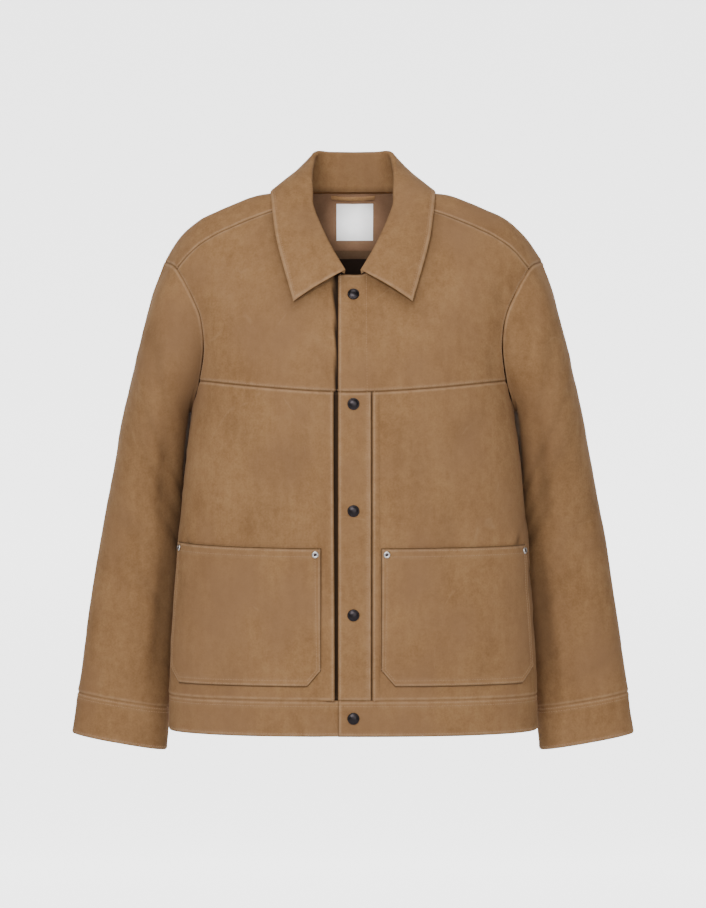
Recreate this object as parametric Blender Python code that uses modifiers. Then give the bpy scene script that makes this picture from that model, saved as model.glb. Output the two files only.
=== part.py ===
"""A snap-front suede jacket, hollow and filled out as it is worn.

Metres, +Z up, the front faces -Y and the wearer's left is +X. The origin lies midway between
the shoulders at the height of the shoulder line beside the neck, where the wearer carries it.
"""

import math
from functools import lru_cache

import bmesh
import bpy
from mathutils import Vector

NAME = "suede_jacket"

# Cloth
WALL = 0.0016            # one layer of suede with its turned edge
BAND_WALL = 0.0022       # two layers: waistband, cuffs, placket
COLLAR_WALL = 0.0018
LINING_WALL = 0.0010
LABEL_WALL = 0.0010
SEAM_INSET = 0.0002      # each edge stands back this much from its seam line
LEAN_INSET = 0.0004      # more where two edges lean together
SLEEVE_INSET = 0.0006
LAYER_GAP = 0.0004       # between a panel and what lies on it

# Heights of the seams
HEM = -0.6890
BAND_SEAM = -0.6435
YOKE_SEAM_CENTRE = -0.2565
POCKET_TOP = -0.4520
POCKET_BOTTOM = -0.6260

# Front edges, as distances from the centre line
LEFT_EDGE = -0.0188      # the left front laps over the right one as far as here
RIGHT_EDGE = -0.0150     # the right front runs on under the lap
PLACKET_RIGHT = 0.0232
PANEL_EDGE = {1: 0.0240, -1: 0.0263}
UNDER_PLACKET = (-0.0340, 0.0150)
LAP_DROP = 0.0030        # the right front lies this much deeper under the lap
LAP_BLEND = (0.0260, 0.0460)

FRONT_POWER = 2.3        # squareness of the front half of a body section
BACK_POWER = 2.05

# height, half width, front, back, side: a level section of the body, y of its front, back, sides
BODY_SECTIONS = [
    (-0.7000, 0.2387, -0.1120, 0.1120, -0.015),
    (-0.6100, 0.2372, -0.1140, 0.1130, -0.015),
    (-0.5300, 0.2325, -0.1165, 0.1140, -0.016),
    (-0.4500, 0.2268, -0.1185, 0.1160, -0.018),
    (-0.3300, 0.2145, -0.1210, 0.1200, -0.016),
    (-0.2750, 0.2078, -0.1205, 0.1220, -0.010),
    (-0.2400, 0.2050, -0.1190, 0.1230, -0.005),
    (-0.2000, 0.2100, -0.1125, 0.1230, 0.000),
    (-0.1630, 0.2190, -0.1035, 0.1205, 0.002),
    (-0.1370, 0.2270, -0.0950, 0.1175, 0.004),
    (-0.1100, 0.2370, -0.0845, 0.1130, 0.004),
    (-0.0830, 0.2460, -0.0730, 0.1065, 0.004),
    (-0.0630, 0.2357, -0.0640, 0.1000, 0.004),
    (-0.0476, 0.2210, -0.0560, 0.0960, 0.004),
    (-0.0293, 0.2005, -0.0445, 0.0900, 0.004),
    (-0.0163, 0.1720, -0.0350, 0.0850, 0.004),
    (-0.0013, 0.1350, -0.0210, 0.0780, 0.004),
    (0.0045, 0.1090, -0.0140, 0.0750, 0.004),
    (0.0130, 0.0950, -0.0090, 0.0700, 0.004),
]

# name, height, x at the front, x at the back: the armhole seam from its tip down to its foot
ARMHOLE = [
    ("tip", -0.0830, 0.2460, 0.2460),
    ("shoulder seam", -0.0955, 0.2275, 0.2290),
    ("upper notch", -0.1370, 0.2040, 0.2060),
    ("chest", -0.1630, 0.1945, 0.1960),
    ("lower notch", -0.2000, 0.1915, 0.1915),
    ("yoke seam", -0.2400, 0.1970, 0.1960),
    ("turn", -0.2620, 0.2035, 0.2030),
    ("foot", -0.2750, 0.2078, 0.2078),
]
ARMHOLE_STEPS = {"yoke": 9, "panel": 4, "back": 12, "tip": 4}

# x, height: the front neckline from the collar's end up to the shoulder seam
FRONT_NECKLINE = [
    (0.0105, -0.1068), (0.0340, -0.0945), (0.0540, -0.0685), (0.0665, -0.0360), (0.0700, -0.0105),
]
# x, height: the forward shoulder seam from the neck out to the armhole
SHOULDER_SEAM = [
    (0.0700, -0.0105), (0.1070, -0.0220), (0.1450, -0.0370), (0.1830, -0.0545),
    (0.2060, -0.0710), (0.2275, -0.0955),
]
# x, y, height: the back neckline from the centre round to the shoulder seam
BACK_NECKLINE = [
    (0.0000, 0.0700, 0.0130), (0.0380, 0.0640, 0.0125), (0.0600, 0.0450, 0.0105),
    (0.0715, 0.0180, 0.0080), (0.0735, -0.0060, 0.0020),
]
# x, y, height: the crest of the shoulders, and below the neckline the back beside it
SHOULDER_CREST = [
    (0.0000, 0.0790, -0.0060), (0.0420, 0.0725, -0.0060), (0.0700, 0.0480, -0.0010),
    (0.0960, 0.0220, 0.0045), (0.1235, 0.0060, 0.0017), (0.1500, 0.0030, -0.0065),
    (0.1760, 0.0030, -0.0177), (0.2005, 0.0030, -0.0293), (0.2255, 0.0030, -0.0520),
]
FACING_ROW = 15                  # the inside row at the facing's lower edge
LINING_ROW = 5                   # and at the half lining's
BACK_CENTRE_HEIGHTS = [-0.275, -0.243, -0.205, -0.165, -0.125, -0.057]
BACK_HALF_COLUMNS = (5, 7)       # under the neckline, under the shoulder seam
BACK_LOWER_ROWS = 6
NEAR_SEAM = 0.25                 # a row or column this close to a seam, in rows or columns

# share of neckline from the back centre, roll x, y, z, fall edge x, y, z
COLLAR_STATIONS = [
    (0.00, 0.0000, 0.0640, 0.0715, 0.0000, 0.0970, 0.0020),
    (0.12, 0.0300, 0.0620, 0.0712, 0.0480, 0.0880, 0.0020),
    (0.22, 0.0480, 0.0480, 0.0690, 0.0830, 0.0620, 0.0060),
    (0.33, 0.0525, 0.0240, 0.0500, 0.1030, 0.0300, 0.0100),
    (0.42, 0.0530, 0.0000, 0.0290, 0.1075, 0.0000, 0.0085),
    (0.53, 0.0515, -0.0180, 0.0060, 0.1055, -0.0240, -0.0040),
    (0.63, 0.0500, -0.0320, -0.0160, 0.1025, -0.0440, -0.0280),
    (0.81, 0.0305, -0.0690, -0.0635, 0.0960, -0.0680, -0.0660),
    (1.00, 0.0095, -0.0880, -0.1010, 0.0755, -0.0985, -0.1414),
]

COLLAR_LIFT = 0.0014     # above the neckline
COLLAR_BOW = 0.0040      # the fall bows out this much
COLLAR_ROLL = (0.0024, 0.0038)   # least and greatest radius of the roll

# name, centre x, y, z, half across, half deep, tilt in degrees, squareness
SLEEVE_RINGS = [
    ("cap", 0.2430, 0.0050, -0.2290, 0.0665, 0.0640, 60.7, 2.0),
    ("upper arm", 0.2545, 0.0200, -0.2910, 0.0512, 0.0660, 26.0, 2.0),
    ("mid upper", 0.2615, 0.0350, -0.3550, 0.0525, 0.0620, 11.4, 2.0),
    ("elbow", 0.2725, 0.0450, -0.4450, 0.0571, 0.0560, 11.1, 2.0),
    ("forearm", 0.2870, 0.0450, -0.5560, 0.0605, 0.0470, 10.5, 2.1),
    ("cuff seam", 0.3008, 0.0380, -0.6567, 0.0612, 0.0350, 9.7, 2.2),
    ("cuff edge", 0.3067, 0.0350, -0.7112, 0.0623, 0.0310, 10.4, 2.2),
]
SLEEVE_STEPS = 15
SLEEVE_CLEAR = 0.0045    # the hanging sleeve stands this far off the body
CUFF_STEPS = 3

# angle round the sleeve in degrees (0 outside, 90 front), share of length, length, width, depth
SLEEVE_FOLDS = [
    (70, 0.16, 60, 0.035, -0.0022),
    (115, 0.42, 70, 0.030, -0.0020),
    (150, 0.50, 80, 0.025, -0.0026),
    (250, 0.30, 70, 0.035, -0.0022),
    (235, 0.47, 60, 0.030, -0.0024),
]

SNAP_HEIGHTS = [-0.1324, -0.2715, -0.4053, -0.5359, -0.6657]
SNAP_X = 0.0005
# radius, height above the cloth
SNAP_PROFILE = [(0.0, 0.0031), (0.0030, 0.0029), (0.0055, 0.0022), (0.0072, 0.0010), (0.0075, 0.0),
                (0.0, 0.0)]
RIVET_PROFILE = [(0.0, 0.0009), (0.0014, 0.0009), (0.0018, 0.0004), (0.0026, 0.0007),
                 (0.0040, 0.0012), (0.0045, 0.0), (0.0, 0.0)]
RIVET_DROP = 0.0080      # below the pocket's top edge
RIVET_INSET = {"inner": 0.035, "outer": 0.955}

# Patch pocket, as shares of the panel's width from its inner edge to the side seam
POCKET_SPAN = {1: (0.044, 0.885), -1: (0.054, 0.925)}
POCKET_CHAMFER = (0.070, 0.0205)
POCKET_COLUMNS = 6
LEAST_STEP = 0.005       # no two columns of the panel lie closer than this
POCKET_GAP = 0.0006
POCKET_ROWS = 8
PLEAT_LIFT = 0.0012
PLEAT_SHARE = 0.030

FACING_COLUMNS = 3       # either side of the centre
LINING_COLUMNS = 11
INSIDE_GAP = 0.0006
# places on the inside layers: columns from the centre, rows up from the hem
LABEL_COLUMNS = [1.07, 0.5, 0.0, -0.5, -0.97]
LABEL_ROWS = [15.33, 16.0, 17.0, 17.25]
LOOP_ROWS = [18.45, 19.80]
LOOP_REACH = 1.13
LOOP_BOW = 0.0030
LABEL_GAP = 0.0005


# ---------- curves and the body's surface ----------

def smooth(rows, at):
    """The row at a place in the first column, on a smooth curve through all the rows."""
    keys = [row[0] for row in rows]
    at = min(max(at, keys[0]), keys[-1])
    i = max(n for n in range(len(keys) - 1) if keys[n] <= at)

    def slope(n, column):
        low, high = max(n - 1, 0), min(n + 1, len(rows) - 1)
        return (rows[high][column] - rows[low][column]) / (keys[high] - keys[low])

    span = keys[i + 1] - keys[i]
    t = (at - keys[i]) / span
    values = []
    for column in range(1, len(rows[0])):
        a, b = rows[i][column], rows[i + 1][column]
        values.append(a * (1 + 2 * t) * (1 - t) ** 2 + slope(i, column) * span * t * (1 - t) ** 2
                      + b * t * t * (3 - 2 * t) + slope(i + 1, column) * span * t * t * (t - 1))
    return values


def ease(low, high, value):
    """0 below low, 1 above high, and a soft step between."""
    t = min(max((value - low) / (high - low), 0.0), 1.0)
    return t * t * (3 - 2 * t)


def walk(knots, steps, first=0, last=None):
    """Points on a smooth open curve through the knots, from one knot to another."""
    distance = [0.0]
    for a, b in zip(knots, knots[1:]):
        distance.append(distance[-1] + (b - a).length)
    rows = [(d, *knot) for d, knot in zip(distance, knots)]
    start, end = distance[first], distance[len(knots) - 1 if last is None else last]
    return [Vector(smooth(rows, start + (end - start) * n / steps)) for n in range(steps + 1)]


def level(z):
    return smooth(BODY_SECTIONS, z)


def front_point(x, z):
    half_width, front, _, side = level(z)
    reach = max(1 - (min(abs(x), half_width) / half_width) ** FRONT_POWER, 0) ** (1 / FRONT_POWER)
    return Vector((x, side - (side - front) * reach, z))


def back_point(x, z):
    half_width, _, back, side = level(z)
    reach = max(1 - (min(abs(x), half_width) / half_width) ** BACK_POWER, 0) ** (1 / BACK_POWER)
    return Vector((x, side + (back - side) * reach, z))


@lru_cache(maxsize=None)
def quarter(z, at_back=False):
    """(distance, x, y) along a level section from the centre line round to the side."""
    half_width, front, back, side = level(z)
    power, end = (BACK_POWER, back) if at_back else (FRONT_POWER, front)
    rows = []
    travelled = 0.0
    last = None
    for n in range(121):
        angle = math.pi / 2 * n / 120
        x = half_width * math.sin(angle) ** (2 / power)
        y = side + (end - side) * max(math.cos(angle), 0) ** (2 / power)
        if last is not None:
            travelled += math.hypot(x - last[0], y - last[1])
        rows.append((travelled, x, y))
        last = (x, y)
    return rows


def along_quarter(z, distance, at_back=False):
    """The point at a distance from the centre line, round a level section."""
    rows = quarter(round(z, 6), at_back)
    sign = -1 if distance < 0 else 1
    distance = min(abs(distance), rows[-1][0])
    for low, high in zip(rows, rows[1:]):
        if distance <= high[0]:
            t = (distance - low[0]) / (high[0] - low[0])
            return Vector((sign * (low[1] + (high[1] - low[1]) * t),
                           low[2] + (high[2] - low[2]) * t, z))
    return Vector((sign * rows[-1][1], rows[-1][2], z))


def quarter_length(z, at_back=False):
    return quarter(round(z, 6), at_back)[-1][0]


def distance_round(point):
    """How far round its level section a front point lies."""
    rows = quarter(round(point.z, 6))
    best = min(rows, key=lambda row: math.hypot(row[1] - abs(point.x), row[2] - point.y))
    return best[0]


def lifted(surface, a, b, lift, step=0.002):
    """A point of a surface moved out along its normal."""
    here = surface(a, b)
    across = surface(a + step, b) - surface(a - step, b)
    upward = surface(a, b + step) - surface(a, b - step)
    return here + across.cross(upward).normalized() * lift


def mirrored(point, side):
    return Vector((point.x * side, point.y, point.z))


# ---------- seam lines that neighbouring pieces share ----------

def armhole_knots():
    """The armhole's knots: tip, down the front to the foot, up the back to the tip again."""
    tip = front_point(ARMHOLE[0][2], ARMHOLE[0][1])
    down = [front_point(x, z) for _, z, x, _ in ARMHOLE[1:]]
    up = [back_point(x, z) for _, z, _, x in reversed(ARMHOLE[1:-1])]
    return [tip, *down, *up, tip.copy()]


KNOTS = armhole_knots()
KNOT_OF = {"tip": 0, "shoulder": 1, "yoke": 5, "foot": 7, "end": len(KNOTS) - 1}
ARMHOLE_TIP = walk(KNOTS, ARMHOLE_STEPS["tip"], KNOT_OF["tip"], KNOT_OF["shoulder"])
ARMHOLE_YOKE = walk(KNOTS, ARMHOLE_STEPS["yoke"], KNOT_OF["shoulder"], KNOT_OF["yoke"])
ARMHOLE_PANEL = walk(KNOTS, ARMHOLE_STEPS["panel"], KNOT_OF["yoke"], KNOT_OF["foot"])
ARMHOLE_BACK = walk(KNOTS, ARMHOLE_STEPS["back"], KNOT_OF["foot"], KNOT_OF["end"])

SHOULDER_LINE = walk([front_point(x, z) for x, z in SHOULDER_SEAM], BACK_HALF_COLUMNS[1])
SHOULDER_LINE[-1] = ARMHOLE_YOKE[0]
NECK_FRONT = walk([front_point(x, z) for x, z in FRONT_NECKLINE], 6)
NECK_BACK = walk([Vector(row) for row in BACK_NECKLINE] + [SHOULDER_LINE[0]],
                 BACK_HALF_COLUMNS[0])


def yoke_seam_height(x):
    share = min(abs(x) / ARMHOLE_YOKE[-1].x, 1.0)
    return YOKE_SEAM_CENTRE + (ARMHOLE_YOKE[-1].z - YOKE_SEAM_CENTRE) * share ** 1.6


# ---------- cloth from a grid of points ----------

def inset(grid, edges, amount=SEAM_INSET):
    """Draws the named edges of a grid back from their seam lines."""
    if "bottom" in edges:
        grid[0] = [a + (b - a).normalized() * amount for a, b in zip(grid[0], grid[1])]
    if "top" in edges:
        grid[-1] = [a + (b - a).normalized() * amount for a, b in zip(grid[-1], grid[-2])]
    for row in grid:
        if "left" in edges:
            row[0] = row[0] + (row[1] - row[0]).normalized() * amount
        if "right" in edges:
            row[-1] = row[-1] + (row[-2] - row[-1]).normalized() * amount
    return grid


def cloth(name, grid, thickness, material, inside, closed=False):
    """A wall of cloth on a grid of points: rows upward, each row across, its face outward."""
    rows, columns = len(grid) - 1, len(grid[0]) - 1
    bm = bmesh.new()
    bmesh.ops.create_grid(bm, x_segments=columns, y_segments=rows, size=0.5)
    for vert in bm.verts:
        i, j = round((vert.co.x + 0.5) * columns), round((vert.co.y + 0.5) * rows)
        vert.co = grid[j][i]
    if closed:
        bmesh.ops.remove_doubles(bm, verts=bm.verts, dist=1e-6)
    bm.normal_update()
    facing = sum(face.normal.dot(face.calc_center_median() - Vector(inside)) for face in bm.faces)
    if facing < 0:
        bmesh.ops.reverse_faces(bm, faces=bm.faces)
    mesh = bpy.data.meshes.new(name)
    bm.to_mesh(mesh)
    bm.free()
    mesh.shade_smooth()
    obj = bpy.data.objects.new(name, mesh)
    PARTS.objects.link(obj)
    mesh.materials.append(material)
    wall = obj.modifiers.new("wall", "SOLIDIFY")
    wall.thickness = thickness
    wall.offset = -1
    wall.use_even_offset = True
    return obj


def suede(name, colour, roughness=0.9, metallic=0.0):
    material = bpy.data.materials.new(name)
    material.use_nodes = True
    shader = material.node_tree.nodes["Principled BSDF"]
    shader.inputs["Base Color"].default_value = (*colour, 1)
    shader.inputs["Roughness"].default_value = roughness
    shader.inputs["Metallic"].default_value = metallic
    return material


for old in list(bpy.data.objects):
    bpy.data.objects.remove(old, do_unlink=True)
PARTS = bpy.data.collections.new(NAME)
bpy.context.scene.collection.children.link(PARTS)
CAMEL = suede("camel_suede", (0.33, 0.19, 0.09))
LINING = suede("brown_lining", (0.06, 0.03, 0.018), 0.6)
FACING = suede("taupe_facing", (0.16, 0.09, 0.05))
LABEL_CLOTH = suede("white_label", (0.82, 0.78, 0.76), 0.7)
GUNMETAL = suede("gunmetal", (0.03, 0.03, 0.035), 0.35, 1.0)
SILVER = suede("silver_rivet", (0.6, 0.58, 0.56), 0.3, 1.0)
TORSO_AXIS = (0, 0, -0.35)


# ---------- fronts ----------

def lap_drop(x, side):
    """The right front sinks where it passes under the left one."""
    return LAP_DROP * (1 - ease(*LAP_BLEND, x)) if side < 0 else 0.0


def front_yoke(name, side, edge):
    """Upper front, from the yoke seam up to the neckline and the forward shoulder seam."""
    rows = ARMHOLE_STEPS["yoke"]
    lead = [(edge + (NECK_FRONT[0].x - edge) * n / 3, NECK_FRONT[0].z) for n in range(3)]
    top = lead + [(p.x, p.z) for p in NECK_FRONT] + [(p.x, p.z) for p in SHOULDER_LINE[1:]]
    seam = list(reversed(ARMHOLE_YOKE))
    seam.insert(-1, seam[-1].lerp(seam[-2], NEAR_SEAM))
    outer = [(p.x, p.z) for p in seam]
    columns = len(top) - 1
    grid = []
    for j, step in enumerate([*range(rows), rows - NEAR_SEAM, rows]):
        v = step / rows
        row = []
        for i in range(columns + 1):
            u = i / columns
            foot_x = edge + (outer[0][0] - edge) * u
            foot = (foot_x, yoke_seam_height(foot_x))
            inner = (edge, yoke_seam_height(edge) + (top[0][1] - yoke_seam_height(edge)) * v)
            corner = ((edge, yoke_seam_height(edge)), outer[0], top[0], top[-1])
            x, z = ((1 - v) * foot[k] + v * top[i][k] + (1 - u) * inner[k] + u * outer[j][k]
                    - (1 - u) * (1 - v) * corner[0][k] - u * (1 - v) * corner[1][k]
                    - (1 - u) * v * corner[2][k] - u * v * corner[3][k] for k in (0, 1))
            point = lifted(front_point, x, z, -lap_drop(x, side))
            if i == columns:
                point = seam[j].copy()
            elif step == rows and i >= columns - BACK_HALF_COLUMNS[1]:
                point = SHOULDER_LINE[i - (columns - BACK_HALF_COLUMNS[1])].copy()
            row.append(mirrored(point, side))
        grid.append(row)
    inset(grid, ("top",), LEAN_INSET)
    return cloth(name, inset(grid, ("bottom", "right")), WALL, CAMEL, TORSO_AXIS)


def panel_surface(side):
    """The lower front by share of its width and height, as a function of both."""
    edge = PANEL_EDGE[side]

    def point(share, z):
        return along_quarter(z, edge + (quarter_length(z) - edge) * share)
    return point


def pleat_lift(share):
    return PLEAT_LIFT * (1 - ease(PLEAT_SHARE, PLEAT_SHARE * 1.4, share))


def panel_columns(side):
    """(share of the panel's width, its point on the armhole or None) for each column."""
    edge = PANEL_EDGE[side]
    low, high = POCKET_SPAN[side]
    arm = [((distance_round(p) - edge) / (quarter_length(p.z) - edge), p)
           for p in ARMHOLE_PANEL[:-1]] + [(1.0, ARMHOLE_PANEL[-1])]
    start, first = low + POCKET_CHAMFER[0], arm[0][0]
    middle = [start + (first - start) * n / POCKET_COLUMNS for n in range(POCKET_COLUMNS)]
    columns = [(share, None) for share in (0.0, PLEAT_SHARE, low, *middle)] + arm
    for share in (high - POCKET_CHAMFER[0], high):
        if min(abs(share - column[0]) for column in columns) < LEAST_STEP:
            continue
        seam = None
        for a, b in zip(arm, arm[1:]):
            if a[0] < share < b[0]:
                seam = a[1].lerp(b[1], (share - a[0]) / (b[0] - a[0]))
        columns.append((share, seam))
    return sorted(columns, key=lambda column: column[0])


def front_panel(name, side):
    """Lower front, from the waistband up to the yoke seam and the foot of the armhole."""
    surface = panel_surface(side)
    rows = 12
    grid = [[] for _ in range(rows + 1)]
    for share, seam in panel_columns(side):
        if seam is None:
            x = surface(share, YOKE_SEAM_CENTRE).x
            top = yoke_seam_height(x)
        else:
            top = seam.z
        for j in range(rows + 1):
            z = BAND_SEAM + (top - BAND_SEAM) * j / rows
            point = lifted(surface, share, z, pleat_lift(share))
            if share > 0.99:
                point = surface(share, z)
            if j == rows and seam is not None:
                point = seam.copy()
            grid[j].append(mirrored(point, side))
    inset(grid, ("top",), LEAN_INSET)
    return cloth(name, inset(grid, ("bottom", "right")), WALL, CAMEL, TORSO_AXIS)


def pocket(name, side):
    """Patch pocket on the panel's own points, moved out, with both lower corners cut off."""
    surface = panel_surface(side)
    low, high = POCKET_SPAN[side]
    corner, rise = POCKET_CHAMFER
    shares = [share for share, _ in panel_columns(side) if low <= share <= high]
    grid = []
    for j in range(POCKET_ROWS + 1):
        row = []
        for share in shares:
            beyond = max(low + corner - share, share - high + corner, 0.0)
            bottom = POCKET_BOTTOM + rise * beyond / corner
            z = bottom + (POCKET_TOP - bottom) * j / POCKET_ROWS
            row.append(mirrored(lifted(surface, share, z, POCKET_GAP + WALL), side))
        grid.append(row)
    return cloth(name, grid, WALL, CAMEL, TORSO_AXIS)


def strip(name, left, right, bottom, top, out, thickness, columns=4, rows=8):
    """An upright strip at the centre front, its outer face at a given lift."""
    grid = []
    for j in range(rows + 1):
        row = []
        for i in range(columns + 1):
            x = left + (right - left) * i / columns
            z = bottom + (top(x) - bottom) * j / rows
            row.append(lifted(front_point, x, z, out))
        grid.append(row)
    return cloth(name, inset(grid, ("bottom", "top")), thickness, CAMEL, TORSO_AXIS)


# ---------- back ----------

def back_guides():
    """Guide rows of half the back, from the foot of the armhole up to the neck and shoulder."""
    knots = [KNOTS[n] for n in range(KNOT_OF["foot"], KNOT_OF["end"])]
    columns = sum(BACK_HALF_COLUMNS)
    guides = []
    for centre, outer in zip(BACK_CENTRE_HEIGHTS, [knots[0], *knots[2:]]):
        half_width = level(outer.z)[0]
        reach = math.asin(min(outer.x / half_width, 1.0) ** (BACK_POWER / 2))
        row = []
        for n in range(columns + 1):
            u = n / columns
            z = centre + (outer.z - centre) * u * u
            row.append(back_point(level(z)[0] * math.sin(reach * u) ** (2 / BACK_POWER), z))
        row[-1] = outer
        guides.append(row)
    guides.append(walk([Vector(row) for row in SHOULDER_CREST] + [KNOTS[0]], columns))
    guides.append(NECK_BACK + SHOULDER_LINE[1:])
    return guides


GUIDES = back_guides()


def upper_back(column, place):
    """A point of half the back: column 0 at the centre, place in guide rows."""
    low = min(int(column), len(GUIDES[0]) - 2)
    share = column - low
    rows = [(n, *(row[low].lerp(row[low + 1], share))) for n, row in enumerate(GUIDES)]
    return Vector(smooth(rows, place))


def back_columns():
    """Column places across half the back, with one close to the side seam."""
    columns = sum(BACK_HALF_COLUMNS)
    return [float(n) for n in range(columns)] + [columns - NEAR_SEAM, float(columns)]


def back_half():
    """Rows of half the back from the waistband seam up, each from the centre to the side."""
    columns = sum(BACK_HALF_COLUMNS)
    foot = BACK_CENTRE_HEIGHTS[0]
    grid = []
    for j in range(BACK_LOWER_ROWS):
        z = BAND_SEAM + (foot - BAND_SEAM) * j / BACK_LOWER_ROWS
        length = quarter_length(z, True)
        grid.append([along_quarter(z, length * n / columns, True) for n in back_columns()])
    outer = ARMHOLE_BACK + ARMHOLE_TIP[1:]
    outer.insert(-1, outer[-1].lerp(outer[-2], NEAR_SEAM))
    for place, edge in zip(guide_places(outer), outer):
        miss = edge - upper_back(columns, place)
        grid.append([upper_back(n, place) + miss * (n / columns) ** 4 for n in back_columns()])
    return grid


def guide_places(outer):
    """Where each armhole point lies among the guide rows."""
    last = len(GUIDES) - 1
    samples = [(last * n / 400, upper_back(sum(BACK_HALF_COLUMNS), last * n / 400))
               for n in range(401)]
    places = []
    for point in outer:
        floor = places[-1] if places else 0.0
        ahead = [(place, at) for place, at in samples if place >= floor]
        near = ahead[:140]
        places.append(min(near, key=lambda item: (item[1] - point).length)[0])
    places[0], places[-1] = 0.0, float(last)
    return places


def both_halves(half):
    """Rows right across, from the +X side to the -X side, as seen from behind."""
    return [[p.copy() for p in reversed(row)] + [mirrored(p, -1) for p in row[1:]]
            for row in half]


def back(name):
    grid = inset(both_halves(back_half()), ("top",), LEAN_INSET)
    return cloth(name, inset(grid, ("bottom", "left", "right")), WALL, CAMEL, TORSO_AXIS)


def inside_back(depth):
    """The back's own rows moved in by a depth, for what lies inside it."""
    whole = both_halves(back_half())
    rows = []
    for j in range(1, len(whole) - 1):
        row = []
        for i in range(1, len(whole[0]) - 1):
            across = whole[j][i + 1] - whole[j][i - 1]
            upward = whole[j + 1][i] - whole[j - 1][i]
            row.append(whole[j][i] - across.cross(upward).normalized() * depth)
        rows.append(row)
    return rows


def lining_rows(rows):
    """The inside rows of the half lining, the last one close under the facing's lower edge."""
    last = [a.lerp(b, 0.98) for a, b in zip(rows[FACING_ROW - 1], rows[FACING_ROW])]
    return rows[LINING_ROW:FACING_ROW] + [last]


def lining(name, rows, reach, thickness, material):
    """Part of the inside rows, from one row to another and a number of columns either side."""
    middle = len(rows[0]) // 2
    grid = [row[middle - reach:middle + reach + 1] for row in rows]
    return cloth(name, grid, thickness, material, TORSO_AXIS)


def laid(rows, column, place):
    """A point on the inside rows, column counted from the centre to the +X side."""
    i, j = int(math.floor(-column)), int(place)
    across, up = -column - i, place - j
    i += len(rows[0]) // 2
    return (rows[j][i].lerp(rows[j][i + 1], across)).lerp(
        rows[j + 1][i].lerp(rows[j + 1][i + 1], across), up)


# ---------- sleeves and cuffs ----------

def armhole_ring():
    """The armhole's points from its tip, down the front and up the back, with an angle each."""
    front = ARMHOLE_TIP + ARMHOLE_YOKE[1:] + ARMHOLE_PANEL[1:]
    rear = ARMHOLE_BACK[1:]
    ring = []
    for points, start in ((front, 0.0), (rear, math.pi)):
        lengths = [(b - a).length for a, b in zip(points, points[1:])]
        if start:
            lengths = [(points[0] - front[-1]).length] + lengths
        else:
            lengths = [0.0] + lengths
        total, travelled = sum(lengths), 0.0
        for point, length in zip(points, lengths):
            travelled += length
            ring.append((start + math.pi * travelled / total, point))
    return ring


def ring_point(ring, angle):
    """A point of a sleeve ring: angle 0 on the outside, a quarter turn on to the front."""
    _, x, y, z, across, deep, tilt, power = ring
    tilt = math.radians(tilt)
    cosine, sine = math.cos(angle), math.sin(angle)
    reach = (abs(cosine) ** power + abs(sine) ** power) ** (-1 / power)
    cosine, sine = cosine * reach, sine * reach
    return Vector((x + across * cosine * math.cos(tilt), y - deep * sine,
                   z + across * cosine * math.sin(tilt)))


def fold_depth(angle, share):
    """Soft troughs across the sleeve."""
    total = 0.0
    for at, centre, reach, width, depth in SLEEVE_FOLDS:
        turn = (math.degrees(angle) - at + 180) % 360 - 180
        slant = centre + 0.0006 * turn
        total += depth * math.exp(-(turn / reach) ** 2 * 2 - ((share - slant) / width) ** 2)
    return total


def clear_of_body(point, gap):
    """The point moved out, if need be, to stand this far outside the body's side."""
    half_width, front, back, side = level(point.z)
    end, power = (front, FRONT_POWER) if point.y < side else (back, BACK_POWER)
    reach = min(abs((point.y - side) / (end - side)), 1.0)
    wall = half_width * (1 - reach ** power) ** (1 / power)
    return Vector((max(point.x, wall + gap), point.y, point.z))


def sleeve_column(angle, start):
    """Points down the sleeve at one angle, from the armhole to the cuff's seam."""
    knots = [start] + [ring_point(ring, angle) for ring in SLEEVE_RINGS[:-1]]
    column = walk(knots, SLEEVE_STEPS)
    axis = [Vector(ring[1:4]) for ring in SLEEVE_RINGS[:-1]]
    for n in range(1, SLEEVE_STEPS):
        share = n / SLEEVE_STEPS
        centre = min(axis, key=lambda c: (c - column[n]).length)
        outward = column[n] - centre
        outward.z = 0
        column[n] = column[n] + outward.normalized() * fold_depth(angle, share)
        if column[n].z < start.z:
            column[n] = clear_of_body(column[n], SLEEVE_CLEAR)
    return column


def sleeve(name, side):
    ring = armhole_ring()[:-1]
    columns = [sleeve_column(angle, point) for angle, point in ring]
    columns.append(columns[0])
    grid = [[mirrored(column[n], side) for column in columns] for n in range(SLEEVE_STEPS + 1)]
    middle = (SLEEVE_RINGS[3][1] * side, SLEEVE_RINGS[3][2], SLEEVE_RINGS[3][3])
    inset(grid, ("bottom",), SLEEVE_INSET)
    return cloth(name, inset(grid, ("top",)), WALL, CAMEL, middle, True)


def cuff(name, side):
    seam, edge = SLEEVE_RINGS[-2:]
    angles = [angle for angle, _ in armhole_ring()[:-1]]
    grid = []
    for n in range(CUFF_STEPS + 1):
        row = [mirrored(ring_point(seam, a).lerp(ring_point(edge, a), n / CUFF_STEPS), side)
               for a in angles]
        grid.append(row + [row[0]])
    middle = (edge[1] * side, edge[2], (seam[3] + edge[3]) / 2)
    return cloth(name, inset(grid, ("bottom",)), BAND_WALL, CAMEL, middle, True)


# ---------- waistband ----------

def waistband_front(name, side, start):
    """Half the band's front, from its front edge round to the side seam."""
    columns, rows = 12, 3
    grid = []
    for j in range(rows + 1):
        z = HEM + (BAND_SEAM - HEM) * j / rows
        row = []
        for n in [*range(columns), columns - NEAR_SEAM, columns]:
            distance = start + (quarter_length(z) - start) * n / columns
            point = along_quarter(z, distance)
            row.append(mirrored(point + Vector((0, lap_drop(point.x, side), 0)), side))
        grid.append(row)
    return cloth(name, inset(grid, ("top", "right")), BAND_WALL, CAMEL, TORSO_AXIS)


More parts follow.
